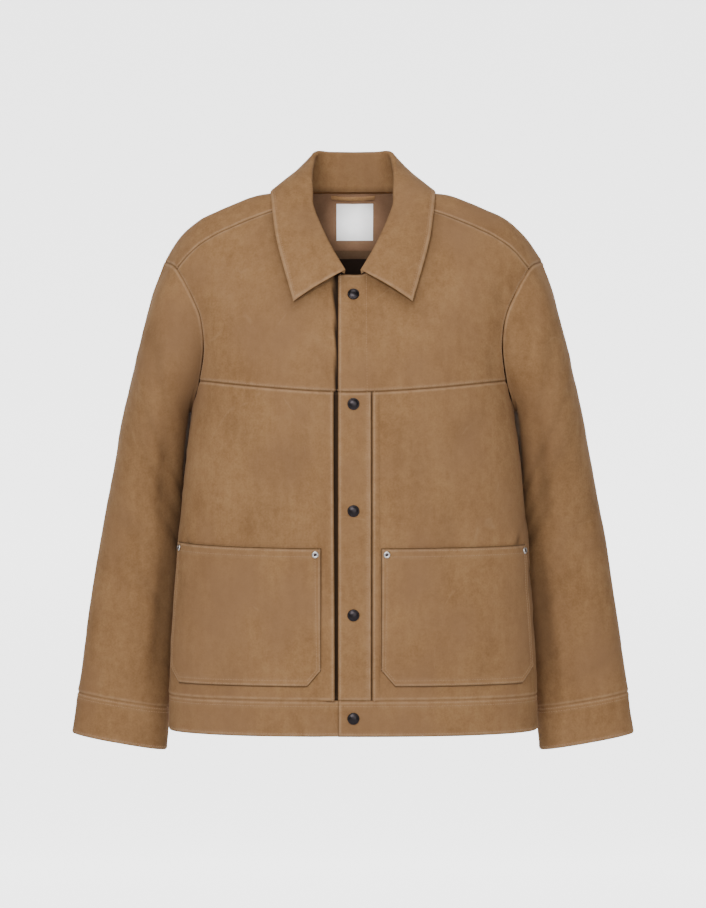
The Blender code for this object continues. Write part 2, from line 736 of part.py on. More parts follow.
def waistband_back(name):
    columns, rows = 12, 3
    half = []
    for j in range(rows + 1):
        z = HEM + (BAND_SEAM - HEM) * j / rows
        length = quarter_length(z, True)
        places = [*range(columns), columns - NEAR_SEAM, columns]
        half.append([along_quarter(z, length * n / columns, True) for n in places])
    grid = inset(both_halves(half), ("top", "left", "right"))
    return cloth(name, grid, BAND_WALL, CAMEL, TORSO_AXIS)


# ---------- collar and neck ----------

def neckline():
    """The neckline from the right collar end round the back to the left one, with its share."""
    half = NECK_BACK + list(reversed(NECK_FRONT))[1:]
    travelled, shares = 0.0, [0.0]
    for a, b in zip(half, half[1:]):
        travelled += (b - a).length
        shares.append(travelled)
    shares = [s / travelled for s in shares]
    right = [(s, mirrored(p, -1), -1) for s, p in reversed(list(zip(shares, half)))]
    left = [(s, p.copy(), 1) for s, p in list(zip(shares, half))[1:]]
    return right + left


def collar_section(share, seam, side):
    """A closed section of the collar: up the stand, over the roll, down the fall and back."""
    values = smooth(COLLAR_STATIONS, share)
    top = Vector((values[0] * side, *values[1:3]))
    edge = Vector((values[3] * side, *values[4:6]))
    outward = Vector((seam.x, seam.y - 0.005, 0)).normalized()
    base = seam + (top - seam).normalized() * COLLAR_LIFT - outward * WALL * 0.8
    ahead = ((base - top).normalized() + (edge - top).normalized()).normalized()
    before, after = (smooth(COLLAR_STATIONS, share + step) for step in (-0.01, 0.01))
    along = Vector(((after[0] - before[0]) * side, after[1] - before[1], after[2] - before[2]))
    across = along.cross(ahead).normalized()
    if across.dot(outward + Vector((0, 0, 0.5))) < 0:
        across.negate()
    radius = max(COLLAR_ROLL[0], min(COLLAR_ROLL[1], (base - top).length * 0.25))
    centre = top + ahead * radius
    section = []
    for reach, thick in ((radius, 0.0), (radius - COLLAR_WALL, COLLAR_WALL)):
        turn = [centre - (across * math.cos(math.pi * n / 4) + ahead * math.sin(math.pi * n / 4))
                * reach for n in range(5)]
        foot = base + across * thick
        hem = edge - across * thick
        fall = [turn[-1].lerp(hem, t) + across * COLLAR_BOW * math.sin(math.pi * t)
                for t in (0.36, 0.70)]
        line = [foot, foot.lerp(turn[0], 0.5), *turn, *fall, hem]
        section += line if thick == 0 else line[::-1]
    return section


def collar(name):
    """One piece lofted through its sections, from the right front end round to the left."""
    sections = [collar_section(*station) for station in neckline()]
    columns = len(sections[0])
    bm = bmesh.new()
    bmesh.ops.create_grid(bm, x_segments=columns, y_segments=len(sections) - 1, size=0.5)
    for vert in bm.verts:
        i = round((vert.co.x + 0.5) * columns)
        j = round((vert.co.y + 0.5) * (len(sections) - 1))
        vert.co = sections[j][i % columns]
    bmesh.ops.remove_doubles(bm, verts=bm.verts, dist=1e-6)
    bmesh.ops.holes_fill(bm, edges=[edge for edge in bm.edges if edge.is_boundary])
    bmesh.ops.recalc_face_normals(bm, faces=bm.faces)
    mesh = bpy.data.meshes.new(name)
    bm.to_mesh(mesh)
    bm.free()
    mesh.shade_smooth()
    mesh.materials.append(CAMEL)
    obj = bpy.data.objects.new(name, mesh)
    PARTS.objects.link(obj)
    return obj


def neck_label(name, depth):
    rows = inside_back(depth)
    grid = [[laid(rows, column, place) for column in LABEL_COLUMNS] for place in LABEL_ROWS]
    return cloth(name, grid, LABEL_WALL, LABEL_CLOTH, TORSO_AXIS)


def hanger_loop(name, depth):
    rows = inside_back(depth)
    grid = []
    for place in LOOP_ROWS:
        row = []
        for n in range(9):
            slack = math.sin(math.pi * n / 8) ** 0.7 * LOOP_BOW
            row.append(laid(rows, LOOP_REACH * (1 - n / 4), place) + Vector((0, -slack, -slack / 2)))
        grid.append(row)
    return cloth(name, grid, LABEL_WALL, CAMEL, TORSO_AXIS)


# ---------- snaps and rivets ----------

def turned(name, profile, place, outward, material, steps=20):
    """A round piece from its profile, its flat side on the cloth."""
    mesh = bpy.data.meshes.new(name)
    mesh.from_pydata([(r, 0, h) for r, h in profile],
                     [(n, n + 1) for n in range(len(profile) - 1)], [])
    obj = bpy.data.objects.new(name, mesh)
    PARTS.objects.link(obj)
    mesh.materials.append(material)
    screw = obj.modifiers.new("turn", "SCREW")
    screw.steps = screw.render_steps = steps
    screw.use_merge_vertices = True
    screw.merge_threshold = 0.00005
    obj.location = place
    obj.rotation_mode = "QUATERNION"
    obj.rotation_quaternion = outward.to_track_quat("Z", "Y")
    return obj


def snap(name, z):
    top = 0.0006 if YOKE_SEAM_CENTRE > z > BAND_SEAM else 0.0
    seat = lifted(front_point, SNAP_X, z, top + LAYER_GAP)
    outward = (seat - lifted(front_point, SNAP_X, z, 0)).normalized()
    return turned(name, SNAP_PROFILE, seat, outward, GUNMETAL)


def rivet(name, side, share):
    surface = panel_surface(side)
    z = POCKET_TOP - RIVET_DROP
    cover = POCKET_GAP + WALL
    seat = mirrored(lifted(surface, share, z, cover + LAYER_GAP), side)
    outward = (seat - mirrored(surface(share, z), side)).normalized()
    return turned(name, RIVET_PROFILE, seat, outward, SILVER, 16)


# ---------- the jacket ----------

INSIDE = inside_back(WALL + INSIDE_GAP)
TRIM_DEPTH = WALL + INSIDE_GAP + LINING_WALL + LABEL_GAP
front_yoke("front_yoke_left", 1, LEFT_EDGE)
front_yoke("front_yoke_right", -1, RIGHT_EDGE)
for side, hand in ((1, "left"), (-1, "right")):
    front_panel("front_panel_" + hand, side)
    pocket("pocket_" + hand, side)
    sleeve("sleeve_" + hand, side)
    cuff("cuff_" + hand, side)
    for place, share in RIVET_INSET.items():
        low, high = POCKET_SPAN[side]
        rivet(f"rivet_{hand}_{place}", side, low + (high - low) * share)
strip("placket", LEFT_EDGE, PLACKET_RIGHT, BAND_SEAM, yoke_seam_height, 0.0006, BAND_WALL)
strip("under_placket", *UNDER_PLACKET, BAND_SEAM, yoke_seam_height, -LAP_DROP, WALL)
waistband_front("waistband_left", 1, LEFT_EDGE)
waistband_front("waistband_right", -1, RIGHT_EDGE)
waistband_back("waistband_back")
back("back")
collar("collar")
lining("neck_facing", INSIDE[FACING_ROW:], FACING_COLUMNS, LINING_WALL, FACING)
lining("back_lining", lining_rows(INSIDE), LINING_COLUMNS, LINING_WALL, LINING)
neck_label("neck_label", TRIM_DEPTH)
hanger_loop("hanger_loop", TRIM_DEPTH)
for number, height in enumerate(SNAP_HEIGHTS, 1):
    snap(f"snap_{number}", height)
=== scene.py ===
import bpy
import bmesh
import math
import numpy as np
from functools import lru_cache
from mathutils import Matrix, Vector, noise


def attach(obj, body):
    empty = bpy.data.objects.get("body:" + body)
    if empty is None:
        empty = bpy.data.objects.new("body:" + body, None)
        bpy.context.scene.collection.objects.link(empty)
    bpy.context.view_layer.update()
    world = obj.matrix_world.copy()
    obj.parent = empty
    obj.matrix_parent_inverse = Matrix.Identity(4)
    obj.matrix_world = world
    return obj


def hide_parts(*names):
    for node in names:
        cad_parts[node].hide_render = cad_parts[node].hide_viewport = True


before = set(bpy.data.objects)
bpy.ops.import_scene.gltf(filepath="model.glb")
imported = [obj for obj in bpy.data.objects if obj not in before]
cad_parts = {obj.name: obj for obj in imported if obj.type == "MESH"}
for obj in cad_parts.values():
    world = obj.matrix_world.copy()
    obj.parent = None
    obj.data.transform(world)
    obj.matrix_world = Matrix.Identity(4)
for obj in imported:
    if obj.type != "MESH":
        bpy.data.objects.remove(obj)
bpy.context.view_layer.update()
print("frame loaded")


# curves through tables, and the body's surface

body = {
    "hem": -0.6890, "bandSeam": -0.6435, "yokeSeam": -0.2565,
    "frontPower": 2.3, "backPower": 2.05,
    "leftEdge": -0.0188, "rightEdge": -0.0150, "placketRight": 0.0232,
    "panelEdge": {1: 0.0240, -1: 0.0263},
    "lapDrop": 0.0030, "lapBlend": (0.0260, 0.0460),
    # height, half width, front, back, side
    "sections": [
        (-0.7000, 0.2387, -0.1120, 0.1120, -0.015), (-0.6100, 0.2372, -0.1140, 0.1130, -0.015),
        (-0.5300, 0.2325, -0.1165, 0.1140, -0.016), (-0.4500, 0.2268, -0.1185, 0.1160, -0.018),
        (-0.3300, 0.2145, -0.1210, 0.1200, -0.016), (-0.2750, 0.2078, -0.1205, 0.1220, -0.010),
        (-0.2400, 0.2050, -0.1190, 0.1230, -0.005), (-0.2000, 0.2100, -0.1125, 0.1230, 0.000),
        (-0.1630, 0.2190, -0.1035, 0.1205, 0.002), (-0.1370, 0.2270, -0.0950, 0.1175, 0.004),
        (-0.1100, 0.2370, -0.0845, 0.1130, 0.004), (-0.0830, 0.2460, -0.0730, 0.1065, 0.004),
        (-0.0630, 0.2357, -0.0640, 0.1000, 0.004), (-0.0476, 0.2210, -0.0560, 0.0960, 0.004),
        (-0.0293, 0.2005, -0.0445, 0.0900, 0.004), (-0.0163, 0.1720, -0.0350, 0.0850, 0.004),
        (-0.0013, 0.1350, -0.0210, 0.0780, 0.004), (0.0045, 0.1090, -0.0140, 0.0750, 0.004),
        (0.0130, 0.0950, -0.0090, 0.0700, 0.004)],
    # height, x in front, x behind: the armhole from its tip to its foot
    "armhole": [
        (-0.0830, 0.2460, 0.2460), (-0.0955, 0.2275, 0.2290), (-0.1370, 0.2040, 0.2060),
        (-0.1630, 0.1945, 0.1960), (-0.2000, 0.1915, 0.1915), (-0.2400, 0.1970, 0.1960),
        (-0.2620, 0.2035, 0.2030), (-0.2750, 0.2078, 0.2078)],
    "frontNeck": [(0.0105, -0.1068), (0.0340, -0.0945), (0.0540, -0.0685), (0.0665, -0.0360),
                  (0.0700, -0.0105)],
    "shoulderSeam": [(0.0700, -0.0105), (0.1070, -0.0220), (0.1450, -0.0370),
                     (0.1830, -0.0545), (0.2060, -0.0710), (0.2275, -0.0955)],
    "backNeck": [(0.0000, 0.0700, 0.0130), (0.0380, 0.0640, 0.0125), (0.0600, 0.0450, 0.0105),
                 (0.0715, 0.0180, 0.0080), (0.0735, -0.0060, 0.0020)],
    "crest": [(0.0000, 0.0790, -0.0060), (0.0420, 0.0725, -0.0060), (0.0700, 0.0480, -0.0010),
              (0.0960, 0.0220, 0.0045), (0.1235, 0.0060, 0.0017), (0.1500, 0.0030, -0.0065),
              (0.1760, 0.0030, -0.0177), (0.2005, 0.0030, -0.0293), (0.2255, 0.0030, -0.0520)],
    "backCentre": [-0.275, -0.243, -0.205, -0.165, -0.125, -0.057],
}
fine = {"yokeRows": 36, "tipRows": 8, "panelRows": 10, "backRows": 64, "backSplit": (20, 28),
        "quarter": 160}


def smooth(rows, at):
    keys = [row[0] for row in rows]
    at = min(max(at, keys[0]), keys[-1])
    i = max(n for n in range(len(keys) - 1) if keys[n] <= at)

    def slope(n, column):
        low, high = max(n - 1, 0), min(n + 1, len(rows) - 1)
        return (rows[high][column] - rows[low][column]) / (keys[high] - keys[low])

    span = keys[i + 1] - keys[i]
    t = (at - keys[i]) / span
    return [rows[i][c] * (1 + 2 * t) * (1 - t) ** 2 + slope(i, c) * span * t * (1 - t) ** 2
            + rows[i + 1][c] * t * t * (3 - 2 * t) + slope(i + 1, c) * span * t * t * (t - 1)
            for c in range(1, len(rows[0]))]


def ease(low, high, value):
    t = min(max((value - low) / (high - low), 0.0), 1.0)
    return t * t * (3 - 2 * t)


def travelled(points):  # the length reached at each point of a line
    reached = [0.0]
    for a, b in zip(points, points[1:]):
        reached.append(reached[-1] + (b - a).length)
    return reached


def walk(knots, steps, first=0, last=-1):
    distance = travelled(knots)
    rows = [(d, *knot) for d, knot in zip(distance, knots)]
    start, end = distance[first], distance[last]
    return [Vector(smooth(rows, start + (end - start) * n / steps)) for n in range(steps + 1)]


def along(points, share):  # the point at a share of a line's length
    lengths = travelled(points)
    want = share * lengths[-1]
    i = min(max(sum(1 for d in lengths if d <= want) - 1, 0), len(points) - 2)
    t = (want - lengths[i]) / max(lengths[i + 1] - lengths[i], 1e-9)
    return points[i].lerp(points[i + 1], t)


@lru_cache(maxsize=None)
def level(z):
    return smooth(body["sections"], z)


def outline(z, atBack):
    halfWidth, front, back, side = level(z)
    power, end = (body["backPower"], back) if atBack else (body["frontPower"], front)
    return halfWidth, side, end, power


def bodyPoint(x, z, atBack=False):
    halfWidth, side, end, power = outline(round(z, 6), atBack)
    reach = max(1 - (min(abs(x), halfWidth) / halfWidth) ** power, 0) ** (1 / power)
    return Vector((x, side + (end - side) * reach, z))


@lru_cache(maxsize=None)
def quarter(z, atBack=False):
    # the outline from the middle round to the side: length travelled, x, y
    halfWidth, side, end, power = outline(z, atBack)
    rows = []
    for n in range(fine["quarter"] + 1):
        angle = math.pi / 2 * n / fine["quarter"]
        x = halfWidth * math.sin(angle) ** (2 / power)
        y = side + (end - side) * max(math.cos(angle), 0) ** (2 / power)
        length = rows[-1][0] + math.hypot(x - rows[-1][1], y - rows[-1][2]) if rows else 0.0
        rows.append((length, x, y))
    return np.array(rows)


def alongQuarter(z, distance, atBack=False):
    rows = quarter(round(z, 6), atBack)
    sign = -1 if distance < 0 else 1
    x = np.interp(abs(distance), rows[:, 0], rows[:, 1])
    y = np.interp(abs(distance), rows[:, 0], rows[:, 2])
    return Vector((sign * x, y, z))


def quarterLength(z, atBack=False):
    return quarter(round(z, 6), atBack)[-1][0]


def lifted(surface, a, b, lift, step=0.002):
    across = surface(a + step, b) - surface(a - step, b)
    upward = surface(a, b + step) - surface(a, b - step)
    return surface(a, b) + across.cross(upward).normalized() * lift


def mirrored(point, side):
    return Vector((point.x * side, point.y, point.z))


def lapDrop(x, side):  # the right front sinks where the left one laps over it
    return body["lapDrop"] * (1 - ease(*body["lapBlend"], x)) if side < 0 else 0.0


tip = bodyPoint(body["armhole"][0][1], body["armhole"][0][0])
knots = ([tip] + [bodyPoint(x, z) for z, x, _ in body["armhole"][1:]]
         + [bodyPoint(x, z, True) for z, _, x in reversed(body["armhole"][1:-1])] + [tip.copy()])
armTip = walk(knots, fine["tipRows"], 0, 1)
armYoke = walk(knots, fine["yokeRows"], 1, 5)
armPanel = walk(knots, fine["panelRows"], 5, 7)
armBack = walk(knots, fine["backRows"], 7)
shoulderLine = walk([bodyPoint(x, z) for x, z in body["shoulderSeam"]], fine["backSplit"][1])
shoulderLine[-1] = armYoke[0]
neckFront = walk([bodyPoint(x, z) for x, z in body["frontNeck"]], 24)
neckBack = walk([Vector(row) for row in body["backNeck"]] + [shoulderLine[0]], fine["backSplit"][0])


def yokeSeam(x):
    share = min(abs(x) / armYoke[-1].x, 1.0)
    return body["yokeSeam"] + (armYoke[-1].z - body["yokeSeam"]) * share ** 1.6


# how cloth is made: a grid of points, sunk along its seams and creased, then a thin wall

cloth = {
    "suedeWall": 0.0014, "bandWall": 0.0021, "liningWall": 0.0008,
    "mesh": 0.0042, "fineMesh": 0.0040,
    "steps": [0.0, 0.0007, 0.0016, 0.0028, 0.0040, 0.0052, 0.0066, 0.0084, 0.0110],
    "seamSink": 0.0010, "seamReach": 0.0020, "foldSink": 0.0012, "foldReach": 0.0010,
    "stitchSink": 0.00022, "stitchReach": 0.0010, "ridge": 0.00030, "pucker": 0.00045,
    # how dark the painted shade is along each kind of edge, and how far it reaches
    "seamShade": 0.62, "foldShade": 0.55, "bandShade": 0.16, "shadeReach": 0.00095,
    "bandSink": 0.0009, "bandReach": 0.0018, "patchSink": 0.0009, "patchReach": 0.0009,
    "armSink": 0.0009, "armReach": 0.0019, "armShade": 0.30,
    "patchShade": 0.80, "patchShadeReach": 0.0014,
    "creaseScale": 1.5, "creaseShade": 70.0, "creaseMost": 0.30, "creaseShift": 0.026,
    # distance in from an edge and width of the ridge, the gathers, the rubbed line
    "ridgeAt": (0.0032, 0.0016), "puckerAt": (0.0040, 0.0060), "wearAt": (0.0026, 0.0015),
    "stitchWear": 0.35, "stitchWearReach": 0.0022, "stitchLift": 0.00012, "puckerScale": 95.0,
    "swell": 0.0010, "swellScale": 17.0, "ripple": 0.00034, "rippleScale": 62.0,
}

# centre x, y, z, direction x, y, z, half length, half width, depth: creases of the body,
# each made on both sides
bodyCreases = [
    (0.1905, -0.070, -0.128, 0.12, 0.10, -1.0, 0.026, 0.0080, -0.0034),
    (0.184, -0.080, -0.215, 0.10, 0.10, -1.0, 0.040, 0.0100, -0.0020),
    (0.176, -0.082, -0.165, 0.45, 0.20, -1.0, 0.040, 0.0110, 0.0010),
    (0.150, -0.098, -0.300, -0.80, -0.10, -0.6, 0.060, 0.0160, -0.0009),
    (0.2150, -0.060, -0.4430, 0.60, 0.35, 0.75, 0.012, 0.0036, -0.0019),
    (0.2080, -0.067, -0.4380, 0.55, 0.30, 0.80, 0.016, 0.0050, 0.0011),
    (0.120, -0.108, -0.420, 0.15, 0.00, 1.0, 0.070, 0.0200, -0.0008),
    (0.075, -0.116, -0.345, -0.35, 0.00, 1.0, 0.080, 0.0220, -0.0007),
    (0.160, -0.090, -0.620, 0.10, 0.00, 1.0, 0.035, 0.0150, -0.0009),
    (0.085, -0.108, -0.628, -0.05, 0.00, 1.0, 0.030, 0.0120, 0.0006),
    (0.218, 0.030, -0.380, 0.10, 0.90, 0.5, 0.060, 0.0130, -0.0026),
    (0.222, 0.020, -0.470, 0.00, 0.90, 0.4, 0.070, 0.0150, -0.0022),
    (0.228, 0.010, -0.560, 0.05, 0.90, -0.25, 0.050, 0.0120, -0.0016),
    (0.165, 0.090, -0.330, -0.80, 0.30, 0.55, 0.075, 0.0150, -0.0030),
    (0.120, 0.105, -0.420, -0.90, 0.20, 0.35, 0.080, 0.0190, -0.0023),
    (0.178, 0.085, -0.200, 0.20, -0.20, -1.0, 0.060, 0.0120, -0.0033),
    (0.150, 0.100, -0.235, 0.15, -0.10, -1.0, 0.070, 0.0150, 0.0020),
    (0.085, 0.120, -0.300, -0.55, 0.10, 0.80, 0.060, 0.0160, -0.0015),
    (0.170, 0.085, -0.500, -0.75, 0.30, -0.55, 0.060, 0.0150, -0.0020),
    (0.060, 0.118, -0.560, 0.90, 0.00, 0.15, 0.090, 0.0180, -0.0020),
    (0.110, 0.108, -0.615, 0.10, 0.00, 1.0, 0.034, 0.0120, -0.0018),
    (0.030, 0.118, -0.618, 0.00, 0.00, 1.0, 0.030, 0.0100, -0.0014),
]


def spread(length, step=None, toEnd=True):
    # shares of a length, closer together by its ends, where seams sink into the cloth
    low = cloth["steps"]
    high = [length - d for d in reversed(low)] if toEnd else [length]
    span = high[0] - low[-1]
    count = max(1, round(span / (step or cloth["mesh"])))
    middle = [low[-1] + span * n / count for n in range(1, count)]
    return [d / length for d in [*low, *middle, *high]]


def creased(points, creases):
    depth = np.zeros(points.shape[:-1])
    for cx, cy, cz, dx, dy, dz, reach, width, amount in creases:
        for side in (1, -1):
            line = np.array((dx * side, dy, dz)) / math.sqrt(dx * dx + dy * dy + dz * dz)
            # behind, the right side's creases lie elsewhere than the left side's
            uneven = side < 0 and cy > 0
            shift = cloth["creaseShift"] * math.sin(cx * 91 + cz * 37) if uneven else 0.0
            share = 0.80 + 0.45 * math.sin(cx * 53 + cz * 71) if uneven else 1.0
            away = points - np.array((cx * side, cy, cz + shift))
            lengthwise = away @ line
            across = np.sqrt(np.maximum((away ** 2).sum(-1) - lengthwise ** 2, 0))
            bend = width * (1 + 0.35 * np.sin(lengthwise / reach * 2.1 + cx * 40 * side))
            fold = np.exp(-(lengthwise / reach) ** 2 - (across / bend) ** 2)
            depth += cloth["creaseScale"] * amount * share * fold
    return depth


def noiseField(points, scale, shift=(0, 0, 0)):
    values = [noise.noise(Vector(p) * scale + Vector(shift)) for p in points.reshape(-1, 3)]
    return np.array(values).reshape(points.shape[:-1])


def swell(points):
    return (noiseField(points, cloth["swellScale"]) * cloth["swell"]
            + noiseField(points, cloth["rippleScale"], (7, 3, 1)) * cloth["ripple"])


def asArray(grid):
    return np.array([[tuple(p) for p in row] for row in grid])


def gridNormals(points, inside, closed=False):
    if closed:
        across = np.roll(points[:, :-1], -1, 1) - np.roll(points[:, :-1], 1, 1)
        across = np.concatenate([across, across[:, :1]], 1)
    else:
        across = np.gradient(points, axis=1)
    upward = np.gradient(points, axis=0)
    normals = np.cross(across, upward)
    normals /= np.maximum(np.linalg.norm(normals, axis=-1, keepdims=True), 1e-12)
    if (normals * (points - np.array(inside))).sum() < 0:
        normals = -normals
    return normals


def edgeDistances(points):
    across = np.linalg.norm(np.diff(points, axis=1), axis=-1).cumsum(1)
    across = np.concatenate([np.zeros((len(points), 1)), across], 1)
    upward = np.linalg.norm(np.diff(points, axis=0), axis=-1).cumsum(0)
    upward = np.concatenate([np.zeros((1, points.shape[1])), upward], 0)
    return {"left": across, "right": across[:, -1:] - across,
            "bottom": upward, "top": upward[-1:] - upward}


def hump(distance, at, width):
    return np.exp(-((distance - at) / width) ** 2)


def drawnOut(grid, edges, inside, creases=bodyCreases, closed=False, stitches=(), swells=1.0,
             hollow=None):
    # returns the sunk and creased grid, its normals, edge wear, edge distances and painted shade
    # along seams, in creases and in hollows
    points = asArray(grid)
    normals = gridNormals(points, inside, closed)
    distance = edgeDistances(points)
    bends = creased(points, creases)
    depth = bends + swell(points) * swells
    wear = np.zeros(points.shape[:-1])
    # painted shade in the troughs of the creases
    shade = np.clip(-bends * cloth["creaseShade"], 0, cloth["creaseMost"])
    gather = noiseField(points, cloth["puckerScale"], (2, 9, 4)) * cloth["pucker"]
    for edge, kind in edges.items():
        d = distance[edge]
        depth -= cloth[kind + "Sink"] * hump(d, 0, cloth[kind + "Reach"])
        depth += cloth["ridge"] * hump(d, *cloth["ridgeAt"])
        depth += gather * hump(d, *cloth["puckerAt"])
        wear = np.maximum(wear, hump(d, *cloth["wearAt"]))
        # painted shade along each seam and edge
        spill = cloth.get(kind + "ShadeReach", cloth["shadeReach"])
        shade = np.maximum(shade, cloth[kind + "Shade"] * hump(d, 0, spill))
    # painted shade from a piece's own hollows
    if hollow:
        dip, dark = hollow(points)
        depth -= dip
        shade = np.maximum(shade, dark)
    for edge, at in stitches:
        d = distance[edge]
        depth -= cloth["stitchSink"] * hump(d, at, cloth["stitchReach"])
        wear = np.maximum(wear, cloth["stitchWear"] * hump(d, at, cloth["stitchWearReach"]))
    points = points + normals * depth[..., None]
    return points, gridNormals(points, inside, closed), wear, distance, shade


def stitchLine(piece, edge, at, skip=0.0):
    # a row of stitches this far in from an edge, on the finished cloth
    points, normals, _, distance, _ = piece
    d = distance[edge]
    if edge in ("bottom", "top"):
        points, normals, d = points.swapaxes(0, 1), normals.swapaxes(0, 1), d.T
    line = []
    for spots, ups, row in zip(points, normals, d):
        order = np.argsort(row)
        spot, up = ([np.interp(at, row[order], values[order][:, c]) for c in range(3)]
                    for values in (spots, ups))
        line.append(Vector(spot) + Vector(up).normalized() * cloth["stitchLift"])
    if skip:
        line = [p for p in line if (p - line[0]).length > skip and (p - line[-1]).length > skip]
    return line


def quads(rows, wide, across):
    return [(j * wide + i, j * wide + (i + 1) % wide, (j + 1) * wide + (i + 1) % wide,
             (j + 1) * wide + i) for j in range(rows - 1) for i in range(across)]


def marked(mesh, wear, shade):
    for label, values in (("edgeWear", wear), ("seamShade", shade)):
        layer = mesh.attributes.new(label, "FLOAT", "POINT")
        layer.data.foreach_set("value", values.astype(np.float32).ravel())


def added(name, data):
    obj = bpy.data.objects.new(name, data)
    bpy.context.scene.collection.objects.link(obj)
    return obj


def wallMesh(name, piece, thickness, materials, closed=False):
    points, normals, wear, _, shade = piece
    rows, columns = points.shape[:2]
    wide = columns - 1 if closed else columns
    vertices = points[:, :wide].reshape(-1, 3)
    faces = quads(rows, wide, columns - 1)
    j, i = (rows - 1) // 2, (columns - 1) // 2
    a, b, c = (vertices[k] for k in faces[j * (columns - 1) + i][:3])
    if np.cross(b - a, c - b) @ normals[j, i] < 0:
        faces = [face[::-1] for face in faces]
    mesh = bpy.data.meshes.new(name)
    mesh.from_pydata(vertices.tolist(), [], faces)
    marked(mesh, wear[:, :wide], shade[:, :wide])
    for material in materials:
        mesh.materials.append(material)
    obj = added(name, mesh)
    wall = obj.modifiers.new("wall", "SOLIDIFY")
    wall.thickness = thickness
    wall.offset = -1
    wall.material_offset = 1 if len(materials) > 1 else 0
    return settled(obj)


def settled(obj, sharp=42):
    # the evaluated shape as a plain mesh, smooth but for its sharp corners
    bpy.context.view_layer.update()
    evaluated = obj.evaluated_get(bpy.context.evaluated_depsgraph_get())
    mesh = bpy.data.meshes.new_from_object(evaluated)
    mesh.name = obj.name
    obj.modifiers.clear()
    obj.data = mesh
    mesh.shade_smooth()
    mesh.set_sharp_from_angle(angle=math.radians(sharp))
    return obj


def dressed(obj, slot, *nodes, cut=None, area=None):
    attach(obj, "root")
    if nodes:
        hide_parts(*nodes)


def suedePiece(name, nodeName, piece, wall, cut, area=None, closed=False):
    obj = wallMesh(name, piece, cloth[wall], [camel, flesh], closed)
    dressed(obj, "camel_suede", nodeName, cut=cut, area=area)


def sew(group, piece, rows, skip=0.0):
    for edge, at in rows:
        stitches[group].append(stitchLine(piece, edge, at, skip))


def gridOf(us, vs, pointAt):
    return [[pointAt(u, v) for u in us] for v in vs]


def flatPiece(name, points, inside, wall, material):
    # a piece with no creases or sinking seams of its own
    plain = np.zeros(points.shape[:-1])
    made = (points, gridNormals(points, inside), plain, None, plain)
    return wallMesh(name, made, wall, [material])


def moveOnto(shares, mark):  # the nearest share becomes exactly this one
    shares[min(range(len(shares)), key=lambda n: abs(shares[n] - mark))] = mark


# finishes

# base, darker and lighter nap, rubbed edges, cooler patches
finishes = {
    "camel": {"Base": (0.267, 0.143, 0.0615), "Dark": (0.187, 0.094, 0.038),
              "Light": (0.344, 0.195, 0.090), "Worn": (0.430, 0.270, 0.152),
              "Tint": (0.240, 0.130, 0.063), "roughness": 0.92, "sheen": 0.06},
    "flesh": {"Base": (0.150, 0.088, 0.050), "Dark": (0.100, 0.056, 0.030),
              "Light": (0.190, 0.120, 0.072), "Worn": (0.190, 0.120, 0.072),
              "Tint": (0.140, 0.080, 0.046), "roughness": 0.95, "sheen": 0.05},
    "facing": {"Base": (0.215, 0.118, 0.066), "Dark": (0.155, 0.082, 0.046),
               "Light": (0.270, 0.156, 0.094), "Worn": (0.300, 0.184, 0.114),
               "Tint": (0.208, 0.110, 0.064), "roughness": 0.90, "sheen": 0.08},
    # the colour of painted shade in seams, creases and hollows, and the tint of the sheen
    "paintedShadeColour": (0.010, 0.005, 0.003, 1), "sheenTint": (0.95, 0.75, 0.52, 1),
}
napColours = ("Base", "Dark", "Light", "Worn", "Tint")


def fed(tree, item, inputs):
    # a socket among the inputs is linked, any other value is set
    for key, value in inputs.items():
        if isinstance(value, bpy.types.NodeSocket):
            tree.links.new(value, item.inputs[key])
        else:
            item.inputs[key].default_value = value


def node(tree, kind, x, y, inputs=None, **values):
    item = tree.nodes.new(kind)
    item.location = (x, y)
    for key, value in values.items():
        setattr(item, key, value)
    fed(tree, item, inputs or {})
    return item


def sockets(tree, way, kind, *names):
    for name in names:
        tree.interface.new_socket(name=name, in_out=way, socket_type="NodeSocket" + kind)


def blank(name):
    material = bpy.data.materials.new(name)
    material.use_nodes = True
    tree = material.node_tree
    return material, tree, tree.nodes["Principled BSDF"]


